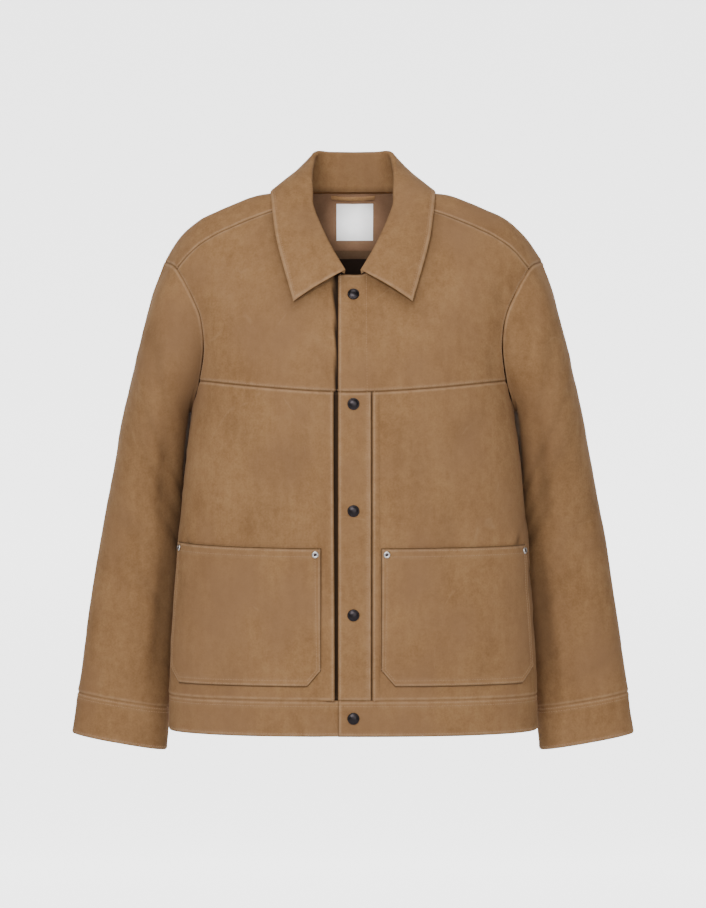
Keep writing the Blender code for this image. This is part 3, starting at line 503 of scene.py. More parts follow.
def napGroup():
    # brushed nap: wide patches, small mottling, upright brush marks, worn edges and painted shade
    tree = bpy.data.node_groups.new("brushedNap", "ShaderNodeTree")
    sockets(tree, "INPUT", "Color", *napColours)
    sockets(tree, "INPUT", "Float", "Mottling", "Wear")
    sockets(tree, "OUTPUT", "Color", "Color")
    sockets(tree, "OUTPUT", "Float", "Height")
    given = node(tree, "NodeGroupInput", -1100, 0).outputs
    place = node(tree, "ShaderNodeTexCoord", -1100, -400).outputs["Object"]

    def cloud(scale, detail, y, stretch=(1, 1, 1)):
        turn = node(tree, "ShaderNodeMapping", -900, y, {"Scale": stretch, "Vector": place})
        return node(tree, "ShaderNodeTexNoise", -700, y,
                    {"Scale": scale, "Detail": detail, "Roughness": 0.6,
                     "Vector": turn.outputs["Vector"]}).outputs["Fac"]

    def mixed(a, b, share, x, y, kind="RGBA"):
        return node(tree, "ShaderNodeMix", x, y, {"Factor": share, "A": a, "B": b},
                    data_type=kind).outputs["Result"]

    def ranged(value, low, high, x, y, most=1.0):
        return node(tree, "ShaderNodeMapRange", x, y,
                    {"Value": value, "From Min": low, "From Max": high, "To Max": most}
                    ).outputs["Result"]

    def worked(operation, a, b, x, y):
        return node(tree, "ShaderNodeMath", x, y, {0: a, 1: b}, operation=operation).outputs[0]

    def marks(name, x, y):
        return node(tree, "ShaderNodeAttribute", x, y, attribute_name=name).outputs["Fac"]

    patches, mottle = cloud(16, 3, 400), cloud(105, 5, 150)
    brush, fibre = cloud(80, 4, -100, (1, 1, 0.20)), cloud(420, 4, -350)
    tone = mixed(patches, mottle, 0.46, -450, 300, "FLOAT")
    tone = mixed(tone, brush, 0.30, -450, 100, "FLOAT")
    tone = ranged(mixed(tone, fibre, 0.22, -450, -50, "FLOAT"), 0.39, 0.61, -200, 150)
    ramp = mixed(given["Dark"], given["Light"], tone, 50, 250)
    toned = mixed(given["Base"], ramp, given["Mottling"], 280, 250)
    cooler = ranged(cloud(9, 2.5, 650, (1, 1, 0.7)), 0.44, 0.66, -200, 600, 0.75)
    tinted = mixed(toned, given["Tint"], cooler, 400, 350)
    rubbed = worked("MULTIPLY", marks("edgeWear", -700, -650), mottle, -300, -550)
    rubbed = worked("MULTIPLY", rubbed, given["Wear"], -80, -550)
    # rubbed hairlines: thin level lines of a wide cloud, broken up by another
    apart = worked("SUBTRACT", cloud(6, 0.6, -800, (1, 1, 0.55)), 0.5, -450, -800)
    hair = ranged(worked("ABSOLUTE", apart, 0, -300, -800), 0.0024, 0.0006, -120, -800)
    hair = worked("MULTIPLY", hair, ranged(cloud(40, 2, -1050), 0.52, 0.60, -120, -1050), 80, -800)
    hair = worked("MULTIPLY", hair, 0.12, 240, -800)
    worn = mixed(tinted, given["Worn"], worked("MAXIMUM", rubbed, hair, 380, -600), 520, 150)
    # painted shade: the seamShade attribute darkens the colour where seams, creases and hollows
    # fall into shade
    deep = mixed(worn, finishes["paintedShadeColour"], marks("seamShade", 300, -200), 700, 100)
    node(tree, "NodeGroupOutput", 900, 0,
         {"Color": deep, "Height": mixed(fibre, mottle, 0.45, -450, -300, "FLOAT")})
    return tree


nap = napGroup()


def suede(name, finish, mottling=0.62, wear=0.85):
    look = finishes[finish]
    material, tree, shader = blank(name)
    mix = node(tree, "ShaderNodeGroup", -500, 200,
               {"Mottling": mottling, "Wear": wear, **{c: (*look[c], 1) for c in napColours}},
               node_tree=nap)
    bump = node(tree, "ShaderNodeBump", -250, -200,
                {"Strength": 0.45, "Distance": 0.0008, "Height": mix.outputs["Height"]})
    fed(tree, shader, {"Base Color": mix.outputs["Color"], "Normal": bump.outputs["Normal"],
                       "Roughness": look["roughness"], "Sheen Weight": look["sheen"],
                       "Sheen Roughness": 0.5, "Sheen Tint": finishes["sheenTint"],
                       "Specular IOR Level": 0.15})
    return material


def twoTones(tree, colour, spare, share, x, y):
    low = (*(c * (1 - spare[0]) for c in colour), 1)
    high = (*(min(c * (1 + spare[1]), 1) for c in colour), 1)
    return node(tree, "ShaderNodeMix", x, y, {"A": low, "B": high, "Factor": share},
                data_type="RGBA").outputs["Result"]


def woven(name, colour, roughness, scale, strength=0.25):
    # fine plain weave for the lining, the label and the thread
    material, tree, shader = blank(name)
    place = node(tree, "ShaderNodeTexCoord", -1000, 0).outputs["Object"]
    heights = [node(tree, "ShaderNodeTexWave", -750, y,
                    {"Scale": scale, "Distortion": 0.6, "Vector": place},
                    wave_type="BANDS", bands_direction=direction).outputs["Fac"]
               for direction, y in (("X", 200), ("Z", -100))]
    both = node(tree, "ShaderNodeMath", -520, 0, dict(enumerate(heights)), operation="MULTIPLY")
    cloud = node(tree, "ShaderNodeTexNoise", -750, -400, {"Scale": 40, "Vector": place})
    tint = twoTones(tree, colour, (0.18, 0.12), cloud.outputs["Fac"], -250, 200)
    bump = node(tree, "ShaderNodeBump", -250, -200,
                {"Strength": strength, "Distance": 0.0002, "Height": both.outputs[0]})
    fed(tree, shader, {"Base Color": tint, "Normal": bump.outputs["Normal"],
                       "Roughness": roughness, "Specular IOR Level": 0.3})
    return material


def metal(name, colour, roughness, marks):
    # polished metal with faint rubbed marks
    material, tree, shader = blank(name)
    place = node(tree, "ShaderNodeTexCoord", -900, 0).outputs["Object"]
    rub = node(tree, "ShaderNodeTexNoise", -700, 0, {"Scale": 900, "Detail": 4, "Vector": place})
    rough = node(tree, "ShaderNodeMapRange", -450, -150,
                 {"To Min": roughness - marks, "To Max": roughness + marks,
                  "Value": rub.outputs["Fac"]})
    tint = twoTones(tree, colour, (0.3, 0.3), rub.outputs["Fac"], -450, 150)
    fed(tree, shader, {"Roughness": rough.outputs["Result"], "Base Color": tint, "Metallic": 1.0})
    return material


camel = suede("camelSuede", "camel")
flesh = suede("suedeInside", "flesh", 0.3, 0.3)
facingCloth = suede("taupeFacing", "facing", 0.35, 0.4)
liningCloth = woven("brownLining", (0.021, 0.0098, 0.0052), 0.92, 900, 0.15)
labelCloth = woven("whiteLabel", (0.95, 0.93, 0.925), 0.75, 700, 0.3)
thread = woven("camelThread", (0.400, 0.240, 0.130), 0.7, 1500, 0.3)
gunmetal = metal("gunmetal", (0.036, 0.031, 0.033), 0.34, 0.08)
silver = metal("silverRing", (0.62, 0.60, 0.58), 0.30, 0.08)
darkCentre = metal("rivetCentre", (0.05, 0.035, 0.04), 0.45, 0.05)
print("finishes ready")

bodyAxis = (0, 0, -0.35)
stitches = {"fronts": [], "pockets": [], "back": [], "sleeves": [], "bands": [], "collar": []}


# fronts

fronts = {
    "yokeSize": (0.262, 0.150), "panelSize": (0.290, 0.385), "placketLength": 0.387,
    "pleatLift": 0.0012, "pleatShare": 0.030, "pleatTurn": (0.0097, 0.0104, 0.0122),
    "placketLift": 0.0006, "underPlacket": (-0.0340, 0.0300), "underDrop": 0.0052,
    "underShade": 0.90, "stitchIn": 0.0024, "edgeStitch": 0.0030, "placketStitch": 0.0365,
    "stitchSkip": 0.003, "edgeStart": {1: 0.0, -1: -0.0087}, "edgeDrift": {1: 0.0, -1: 0.0046},
    "sideEnd": 0.9985, "gapSink": 0.0016, "gapShade": 0.97,
    "collarShade": 0.50, "collarShadeReach": 0.0085,
    "collarEdge": [(0.1075, 0.0000, 0.0085), (0.1055, -0.0240, -0.0040),
                   (0.1025, -0.0440, -0.0280), (0.0960, -0.0680, -0.0660),
                   (0.0755, -0.0985, -0.1414), (0.0095, -0.0880, -0.1060)],
    # height, how far the gap with painted shade beside the top of the placket reaches from its edge
    "gap": [(-0.240, 0.0046), (-0.200, 0.0046), (-0.160, 0.0056), (-0.128, 0.0084),
            (-0.1068, 0.0092)],
    "yokeCut": (0.262, 0.292), "yokeArea": 0.0485,
    "panelCut": (0.300, 0.395), "panelArea": 0.100,
    "placketCut": (0.043, 0.394), "underCut": (0.065, 0.394),
}


def placketGap(points):
    # the right yoke drops away into a gap along the left one's lapping edge, darkened with painted
    # shade
    reach = np.interp(points[..., 2], *zip(*fronts["gap"]))
    beyond = (body["leftEdge"] - points[..., 0]) / reach
    inGap = 1 - np.clip((beyond - 0.60) / 0.45, 0, 1)
    inGap = inGap * inGap * (3 - 2 * inGap)
    return fronts["gapSink"] * inGap, fronts["gapShade"] * inGap


def underCollar(points):
    # painted shadow along the line where the collar's edge comes down on the yoke
    flat = points.reshape(-1, 3).copy()
    flat[:, 0] = np.abs(flat[:, 0])
    nearest = np.full(len(flat), 1.0)
    line = [np.array(p) for p in fronts["collarEdge"]]
    for a, b in zip(line, line[1:]):
        t = np.clip(((flat - a) @ (b - a)) / ((b - a) @ (b - a)), 0, 1)
        nearest = np.minimum(nearest, np.linalg.norm(flat - a - t[:, None] * (b - a), axis=1))
    dark = fronts["collarShade"] * np.exp(-nearest / fronts["collarShadeReach"])
    return dark.reshape(points.shape[:-1])


def yokeHollows(side):
    def hollow(points):
        dip, dark = placketGap(points) if side < 0 else (np.zeros(points.shape[:-1]),) * 2
        return dip, np.maximum(dark, underCollar(points))
    return hollow


def frontYoke(name, side, edge):
    lead = [Vector((edge + (neckFront[0].x - edge) * n / 6, 0, neckFront[0].z)) for n in range(6)]
    topLine = [Vector((p.x, 0, p.z)) for p in lead + neckFront + shoulderLine[1:]]
    outer = [Vector((p.x, 0, p.z)) for p in reversed(armYoke)]
    us, vs = (spread(length) for length in fronts["yokeSize"])
    # keep a column exactly on the corner where neckline and shoulder seam meet
    lengths = travelled(topLine)
    moveOnto(us, lengths[len(lead) + len(neckFront) - 1] / lengths[-1])
    seamFoot = [Vector((edge + (outer[0].x - edge) * n / 40, 0, 0)) for n in range(41)]
    for p in seamFoot:
        p.z = yokeSeam(p.x)
    corners = (seamFoot[0], seamFoot[-1], topLine[0], topLine[-1])

    def pointAt(u, v):
        foot, head = along(seamFoot, u), along(topLine, u)
        inner, out = corners[0].lerp(corners[2], v), along(outer, v)
        p = (foot * (1 - v) + head * v + inner * (1 - u) + out * u - corners[0] * (1 - u) * (1 - v)
             - corners[1] * u * (1 - v) - corners[2] * (1 - u) * v - corners[3] * u * v)
        return mirrored(lifted(bodyPoint, p.x, p.z, -lapDrop(p.x, side)), side)

    grid = gridOf(us, vs, pointAt)
    for row, v in zip(grid, vs):
        row[-1] = mirrored(along(list(reversed(armYoke)), v), side)
    edges = {"bottom": "seam", "top": "seam", "right": "arm", "left": "fold"}
    seam = [("bottom", fronts["stitchIn"])]
    piece = drawnOut(grid, edges, bodyAxis, stitches=seam, hollow=yokeHollows(side))
    sew("fronts", piece, seam + [("right", fronts["stitchIn"])])
    if side > 0:
        sew("fronts", piece, [("left", fronts["edgeStitch"])])
        sew("fronts", piece, [("left", fronts["placketStitch"])], fronts["stitchSkip"])
    suedePiece("front" + name + "Yoke", "front_yoke_" + name.lower(), piece, "suedeWall",
               fronts["yokeCut"], fronts["yokeArea"])


def panelSurface(side):
    edge = body["panelEdge"][side]
    return lambda share, z: alongQuarter(z, edge + (quarterLength(z) - edge) * share)


def pleatLift(share):
    return fronts["pleatLift"] * (1 - ease(fronts["pleatShare"], fronts["pleatShare"] * 1.4, share))


def armShare(point, edge):
    rows = quarter(round(point.z, 6))
    near = np.argmin(np.hypot(rows[:, 1] - point.x, rows[:, 2] - point.y))
    return (rows[near][0] - edge) / (rows[-1][0] - edge)


def panelTop(side, share):  # height of the panel's upper edge at a share of its width
    edge = body["panelEdge"][side]
    marks = [(armShare(p, edge), p.z) for p in armPanel[:-1]] + [(1.0, armPanel[-1].z)]
    if share <= marks[0][0]:
        return yokeSeam(panelSurface(side)(share, body["yokeSeam"]).x)
    return float(np.interp(share, [m[0] for m in marks], [m[1] for m in marks]))


def frontPanel(name, side):
    surface = panelSurface(side)
    wide, high = fronts["panelSize"]
    us = sorted(spread(wide) + [turn / wide for turn in fronts["pleatTurn"]])

    def pointAt(u, v):
        # the right panel's edge lies nearer to the placket towards the hem
        start = fronts["edgeStart"][side] - fronts["edgeDrift"][side] * (1 - ease(0.1, 0.9, v))
        share = start + (1 - start) * u
        z = body["bandSeam"] + (panelTop(side, share) - body["bandSeam"]) * v
        return mirrored(lifted(surface, min(share, fronts["sideEnd"]), z, pleatLift(share)), side)

    edges = {"bottom": "band", "top": "seam", "right": "seam", "left": "fold"}
    rows = [("left", fronts["edgeStitch"])]
    piece = drawnOut(gridOf(us, spread(high), pointAt), edges, bodyAxis, stitches=rows)
    sew("fronts", piece, rows)
    suedePiece("front" + name + "Panel", "front_panel_" + name.lower(), piece, "suedeWall",
               fronts["panelCut"], fronts["panelArea"])


def allDark(points):
    # painted shade over the whole under placket, which only shows in the gap beside the placket
    return np.zeros(points.shape[:-1]), np.full(points.shape[:-1], fronts["underShade"])


def strip(name, nodeName, left, right, lift, wall, cut, raised):
    def pointAt(u, v):
        x = left + (right - left) * u
        z = body["bandSeam"] + (yokeSeam(x) - body["bandSeam"]) * v
        return lifted(bodyPoint, x, z, lift)

    grid = gridOf(spread(right - left, cloth["fineMesh"]), spread(fronts["placketLength"]), pointAt)
    edges = {"left": "fold", "right": "fold", "bottom": "seam", "top": "seam"}
    rows = [("left", fronts["edgeStitch"]), ("left", fronts["placketStitch"])] if raised else []
    piece = drawnOut(grid, edges, bodyAxis, stitches=rows, hollow=None if raised else allDark)
    sew("fronts", piece, rows)
    suedePiece(name, nodeName, piece, wall, cut)


for name, side in (("Left", 1), ("Right", -1)):
    frontYoke(name, side, body[name.lower() + "Edge"])
for name, side in (("Left", 1), ("Right", -1)):
    frontPanel(name, side)
strip("snapPlacket", "placket", body["leftEdge"], body["placketRight"], fronts["placketLift"],
      "bandWall", fronts["placketCut"], True)
strip("underPlacket", "under_placket", *fronts["underPlacket"], -fronts["underDrop"],
      "suedeWall", fronts["underCut"], False)
print("fronts sewn")


# patch pockets

pockets = {
    "span": {1: (0.044, 0.868), -1: (0.054, 0.902)}, "top": -0.4520, "bottom": -0.6260,
    "innerCorner": 0.068, "outerCorner": 0.090, "rise": 0.0205, "gap": 0.0009,
    "mouthBow": 0.0012, "mouthRise": {1: 0.0025, -1: 0.0060},
    "stitches": (0.0026, 0.0078), "mouthStitches": (0.0035, 0.0105),
    "cut": (0.250, 0.182), "area": 0.0415,
}


def pocket(name, side):
    surface = panelSurface(side)
    low, high = pockets["span"][side]
    inner, outer = pockets["innerCorner"], pockets["outerCorner"]
    us = spread((high - low) * fronts["panelSize"][0])
    moveOnto(us, inner / (high - low))
    moveOnto(us, 1 - outer / (high - low))

    def pointAt(u, v):
        share = low + (high - low) * u
        beyond = max((low + inner - share) / inner, (share - high + outer) / outer, 0.0)
        bottom = pockets["bottom"] + pockets["rise"] * beyond
        top = pockets["top"] + pockets["mouthRise"][side] * u * u
        bow = pockets["mouthBow"] * v ** 6 * math.sin(math.pi * u)
        return mirrored(lifted(surface, min(share, fronts["sideEnd"]), bottom + (top - bottom) * v,
                               pockets["gap"] + cloth["suedeWall"] + bow), side)

    edges = {edge: "patch" for edge in ("left", "right", "bottom", "top")}
    rows = [(edge, at) for edge in ("left", "right", "bottom") for at in pockets["stitches"]]
    rows += [("top", at) for at in pockets["mouthStitches"]]
    grid = gridOf(us, spread(pockets["top"] - pockets["bottom"]), pointAt)
    piece = drawnOut(grid, edges, bodyAxis, stitches=rows)
    for edge, at in rows:
        sew("pockets", piece, [(edge, at)], at if at > 0.003 else 0.001)
    suedePiece("pocket" + name, "pocket_" + name.lower(), piece, "suedeWall", pockets["cut"],
               pockets["area"])


pocket("Left", 1)
pocket("Right", -1)
print("pockets sewn")


# back, with the half lining and the facing inside it

backPiece = {
    "cut": (0.600, 0.730), "area": 0.385, "columns": sum(fine["backSplit"]), "samples": 800,
    "stitchIn": 0.0026, "swells": 1.3, "insideGap": 0.0009,
    # rows by the neck and columns by the side seams, as shares of the last wide step
    "closer": (0.32, 0.60, 0.80, 0.92),
    # height of the foot, columns each side of the middle
    "facing": (-0.0570, 12), "facingCut": (0.152, 0.092), "facingArea": 0.0121,
    "lining": (-0.2740, 44), "liningCut": (0.440, 0.225), "liningArea": 0.080,
}


def backGuides():
    rows = [knots[n] for n in range(7, len(knots) - 1)]
    columns, power = backPiece["columns"], body["backPower"]
    guides = []
    for centre, outer in zip(body["backCentre"], [rows[0], *rows[2:]]):
        reach = math.asin(min(outer.x / level(round(outer.z, 6))[0], 1.0) ** (power / 2))
        row = []
        for n in range(columns):
            u = n / columns
            z = centre + (outer.z - centre) * u * u
            x = level(round(z, 6))[0] * math.sin(reach * u) ** (2 / power)
            row.append(bodyPoint(x, z, True))
        guides.append(row + [outer])
    guides.append(walk([Vector(row) for row in body["crest"]] + [knots[0]], columns))
    guides.append(neckBack + shoulderLine[1:])
    return guides


guides = backGuides()


def upperBack(column, place):
    return Vector(smooth([(n, *row[column]) for n, row in enumerate(guides)], place))


def backHalf():
    columns = backPiece["columns"]
    foot = body["backCentre"][0]
    grid = []
    for share in spread(foot - body["bandSeam"], toEnd=False)[:-1]:
        z = body["bandSeam"] + (foot - body["bandSeam"]) * share
        length = quarterLength(z, True)
        grid.append([alongQuarter(z, length * n / columns, True) for n in range(columns + 1)])
    outer = armBack + armTip[1:]
    last, steps = len(guides) - 1, backPiece["samples"]
    samples = [(last * n / steps, upperBack(columns, last * n / steps)) for n in range(steps + 1)]
    place = 0.0
    for k, edge in enumerate(outer):
        ahead = [s for s in samples if place <= s[0] <= place + 0.6]
        place = min(ahead, key=lambda s: (s[1] - edge).length)[0] if k else 0.0
        place = float(last) if k == len(outer) - 1 else place
        miss = edge - upperBack(columns, place)
        grid.append([upperBack(n, place) + miss * (n / columns) ** 4 for n in range(columns + 1)])
    return grid


def seamSteps(grid):
    # closer columns by the side seams and rows by the neck, so that the seams can sink
    near = backPiece["closer"]
    wider = [row[:-1] + [row[-2].lerp(row[-1], t) for t in near] + [row[-1]] for row in grid]
    between = [[a.lerp(b, t) for a, b in zip(wider[-2], wider[-1])] for t in near[1:]]
    return wider[:-1] + between + [wider[-1]]


half = seamSteps(backHalf())
whole = [[mirrored(p, -1) for p in reversed(row[1:])] + [p.copy() for p in row] for row in half]
edges = {"bottom": "band", "top": "seam", "left": "seam", "right": "seam"}
piece = drawnOut(whole, edges, bodyAxis, swells=backPiece["swells"])
sew("back", piece, [("top", backPiece["stitchIn"])], 0.001)
suedePiece("backPanel", "back", piece, "suedeWall", backPiece["cut"], backPiece["area"])

backPoints = asArray(whole)
backNormals = gridNormals(backPoints, bodyAxis)
# the inside pieces sink with the back's creases, so that they never show through them
sunk = np.maximum(((backPoints - piece[0]) * backNormals).sum(-1, keepdims=True), 0)
insideDepth = cloth["suedeWall"] + backPiece["insideGap"]
insideBack = backPoints - backNormals * (insideDepth + sunk)
heights = [row[0].z for row in half]


def footRow(z):
    return max(n for n, height in enumerate(heights) if height < z)


top = len(half) - 1
for name, part, material, slot in (("neckFacing", "facing", facingCloth, "taupe_facing"),
                                   ("backLining", "lining", liningCloth, "brown_lining")):
    foot, reach = footRow(backPiece[part][0]), backPiece[part][1]
    middle = len(whole[0]) // 2
    points = insideBack[foot:top, middle - reach:middle + reach + 1]
    obj = flatPiece(name, points, bodyAxis, cloth["liningWall"], material)
    nodeName = {"facing": "neck_facing", "lining": "back_lining"}[part]
    dressed(obj, slot, nodeName, cut=backPiece[part + "Cut"], area=backPiece[part + "Area"])
    top = foot - 1
print("back sewn")


# waistband

bands = {"stitches": (0.0026, 0.0070), "foot": 0.0040,
         "frontCut": (0.304, 0.0465), "backCut": (0.588, 0.0500), "cuffCut": (0.327, 0.056)}


def bandGrid(side, start, atBack):
    def pointAt(u, v):
        z = body["hem"] + (body["bandSeam"] - body["hem"]) * v
        full = quarterLength(z, atBack)
        distance = full * (2 * u - 1) if atBack else start + (full - start) * u
        p = alongQuarter(z, distance, atBack)
        return mirrored(p + Vector((0, lapDrop(p.x, side), 0)), side)

    length = quarterLength(body["hem"], atBack)
    us = spread(2 * length if atBack else length - start)
    return gridOf(us, spread(body["bandSeam"] - body["hem"], cloth["fineMesh"]), pointAt)


for part, side, start, atBack, inner, cut in (
        ("left", 1, body["leftEdge"], False, "fold", "frontCut"),
        ("right", -1, body["rightEdge"], False, "fold", "frontCut"),
        ("back", 1, 0, True, "seam", "backCut")):
    rows = [("top", at) for at in bands["stitches"]] + [("bottom", bands["foot"])]
    edges = {"left": inner, "right": "seam", "top": "band", "bottom": "fold"}
    piece = drawnOut(bandGrid(side, start, atBack), edges, bodyAxis, stitches=rows)
    sew("bands", piece, rows, 0.001)
    suedePiece("waistband" + part.title(), "waistband_" + part, piece, "bandWall", bands[cut])
print("waistband sewn")


# sleeves and cuffs

sleeves = {
    # centre x, y, z, half across, half deep, tilt in degrees, squareness
    "rings": [
        (0.2430, 0.0050, -0.2290, 0.0665, 0.0640, 60.7, 2.0),
        (0.2545, 0.0200, -0.2910, 0.0512, 0.0660, 26.0, 2.0),
        (0.2615, 0.0350, -0.3550, 0.0525, 0.0620, 11.4, 2.0),
        (0.2725, 0.0450, -0.4450, 0.0571, 0.0560, 11.1, 2.0),
        (0.2870, 0.0450, -0.5560, 0.0605, 0.0470, 10.5, 2.1),
        (0.3008, 0.0380, -0.6567, 0.0612, 0.0350, 9.7, 2.2),
        (0.3067, 0.0350, -0.7112, 0.0623, 0.0310, 10.4, 2.2)],
    # angle, 0 outside and 90 front, share of length, reach in degrees, width, depth
    "folds": [
        (70, 0.16, 60, 0.035, -0.0022), (115, 0.42, 70, 0.030, -0.0020),
        (150, 0.50, 80, 0.025, -0.0026), (250, 0.30, 70, 0.035, -0.0022),
        (235, 0.47, 60, 0.030, -0.0024), (95, 0.31, 50, 0.022, -0.0011),
        (60, 0.58, 55, 0.026, -0.0010), (110, 0.70, 60, 0.020, -0.0012),
        (40, 0.24, 40, 0.018, 0.0009), (165, 0.36, 60, 0.020, -0.0018),
        (205, 0.56, 70, 0.022, -0.0022), (270, 0.62, 60, 0.024, -0.0014),
        (300, 0.40, 50, 0.026, -0.0015), (255, 0.78, 60, 0.020, -0.0012),
        (130, 0.86, 50, 0.014, -0.0009), (80, 0.93, 60, 0.010, -0.0007),
        (110, 0.38, 14, 0.13, -0.0030), (126, 0.75, 16, 0.20, -0.0027)],
    "clear": 0.0045, "foldShade": 60.0, "foldMost": 0.30, "shadeMost": 0.75, "deepen": 1.5,
    # painted shade beside the body: each side's share, room it starts at, reach, heights it ends at
    "beside": {1: 0.51 * 0.55, -1: 0.51}, "besideFrom": 0.004, "besideReach": 0.026,
    "besideEnd": (-0.235, -0.120),
    # depth below the neck, how far the outer side swings out or in to fall straight
    "fall": [(0.088, 0.0000), (0.105, 0.0014), (0.128, 0.0010), (0.159, -0.0013),
             (0.191, -0.0033), (0.223, -0.0045), (0.255, -0.0030), (0.286, -0.0019),
             (0.318, -0.0006), (0.350, 0.0010), (0.413, 0.0024), (0.493, 0.0030),
             (0.556, 0.0022), (0.620, 0.0013), (0.668, 0.0014), (0.700, 0.0024)],
    "length": 0.47, "cuffLength": 0.056, "middle": (0.2725, 0.045, -0.445),
    "cut": (0.470, 0.585), "area": 0.183,
}


def armRing():
    front = armTip + armYoke[1:] + armPanel[1:]
    ring = []
    for points, start in ((front, 0.0), ([front[-1]] + armBack[1:], math.pi)):
        lengths = travelled(points)
        ring += [(start + math.pi * length / lengths[-1], point)
                 for length, point in zip(lengths, points) if start == 0.0 or length > 0]
    return ring[:-1]


def ringPoint(ring, angle):
    x, y, z, across, deep, tilt, power = ring
    tilt = math.radians(tilt)
    cosine, sine = math.cos(angle), math.sin(angle)
    reach = (abs(cosine) ** power + abs(sine) ** power) ** (-1 / power)
    cosine, sine = cosine * reach, sine * reach
    return Vector((x + across * cosine * math.cos(tilt), y - deep * sine,
                   z + across * cosine * math.sin(tilt)))


def foldDepth(angle, share):
    total = 0.0
    for at, centre, reach, width, depth in sleeves["folds"]:
        turn = (math.degrees(angle) - at + 180) % 360 - 180
        slant = centre + 0.0006 * turn
        total += depth * math.exp(-(turn / reach) ** 2 * 2 - ((share - slant) / width) ** 2)
    return total


def bodyWall(y, z):  # half the body's width at this depth and height
    z = round(z, 6)
    halfWidth, side, end, power = outline(z, y >= level(z)[3])
    reach = min(abs((y - side) / (end - side)), 1.0)
    return halfWidth * (1 - reach ** power) ** (1 / power)


def outerFall(point, angle, share=1.0):
    # the outer side falls in one straight line from the shoulder to the cuff
    out = smooth(sleeves["fall"], -point.z)[0] * max(math.cos(angle), 0) * ease(0.0, 0.08, share)
    return point + Vector((out, 0, 0))


def sleeveColumn(angle, start, shares):
    rings = sleeves["rings"][:-1]
    knotsDown = [start] + [ringPoint(ring, angle) for ring in rings]
    distance = travelled(knotsDown)
    rows = [(d, *knot) for d, knot in zip(distance, knotsDown)]
    axis = [Vector(ring[:3]) for ring in rings]
    column = []
    for share in shares:
        p = Vector(smooth(rows, distance[-1] * share))
        if 0.02 < share < 0.995:
            k = min(range(len(axis) - 1), key=lambda n: abs((axis[n].z + axis[n + 1].z) / 2 - p.z))
            t = min(max((p.z - axis[k].z) / (axis[k + 1].z - axis[k].z), 0), 1)
            outward = p - axis[k].lerp(axis[k + 1], t)
            outward.z = 0
            p = p + outward.normalized() * foldDepth(angle, share) * sleeves["deepen"]
            if p.z < start.z:
                p.x = max(p.x, bodyWall(p.y, p.z) + sleeves["clear"])
        column.append(outerFall(p, angle, share))
    return column


def besideBody(points):
    # painted shade on the sleeve where it hangs close beside the body
    dark = np.zeros(points.shape[:-1])
    for spot, (x, y, z) in zip(np.ndindex(dark.shape), points.reshape(-1, 3)):
        room = abs(x) - bodyWall(y, float(z))
        near = math.exp(-max(room - sleeves["besideFrom"], 0) / sleeves["besideReach"])
        share = sleeves["beside"][1 if x >= 0 else -1] * near
        dark[spot] = share * (1 - ease(*sleeves["besideEnd"], z))
    return np.zeros(dark.shape), dark


def sleeve(name, side):
    ring = armRing()
    shares = spread(sleeves["length"])
    columns = [sleeveColumn(angle, point, shares) for angle, point in ring]
    columns.append(columns[0])
    angles = [angle for angle, _ in ring] + [ring[0][0]]
    inFolds = np.array([[foldDepth(angle, share) for angle in angles] for share in shares])

    def hollow(points):
        dip, dark = besideBody(points)
        # painted shade in the troughs of the folds
        folds = np.clip(-inFolds * sleeves["foldShade"], 0, sleeves["foldMost"])
        return dip, np.clip(dark + folds, 0, sleeves["shadeMost"])

    grid = [[mirrored(column[n], side) for column in columns] for n in range(len(shares))]
    middle = (sleeves["middle"][0] * side, *sleeves["middle"][1:])
    piece = drawnOut(grid, {"bottom": "arm", "top": "band"}, middle, creases=(), closed=True,
                     hollow=hollow)
    suedePiece("sleeve" + name, "sleeve_" + name.lower(), piece, "suedeWall", sleeves["cut"],
               sleeves["area"], True)


def cuff(name, side):
    seam, edge = sleeves["rings"][-2:]
    angles = [angle for angle, _ in armRing()]
    angles.append(angles[0])

    def pointAt(angle, v):
        p = ringPoint(seam, angle).lerp(ringPoint(edge, angle), v)
        return mirrored(outerFall(p, angle), side)

    grid = gridOf(angles, spread(sleeves["cuffLength"], cloth["fineMesh"]), pointAt)
    middle = (edge[0] * side, edge[1], (seam[2] + edge[2]) / 2)
    rows = [("bottom", at) for at in bands["stitches"]] + [("top", bands["foot"])]
    piece = drawnOut(grid, {"bottom": "band", "top": "fold"}, middle, creases=(), closed=True,
                     stitches=rows, hollow=besideBody)
    sew("sleeves", piece, rows)
    suedePiece("cuff" + name, "cuff_" + name.lower(), piece, "bandWall", bands["cuffCut"],
               closed=True)


for name, side in (("Left", 1), ("Right", -1)):
    sleeve(name, side)
    cuff(name, side)
print("sleeves sewn")


# collar

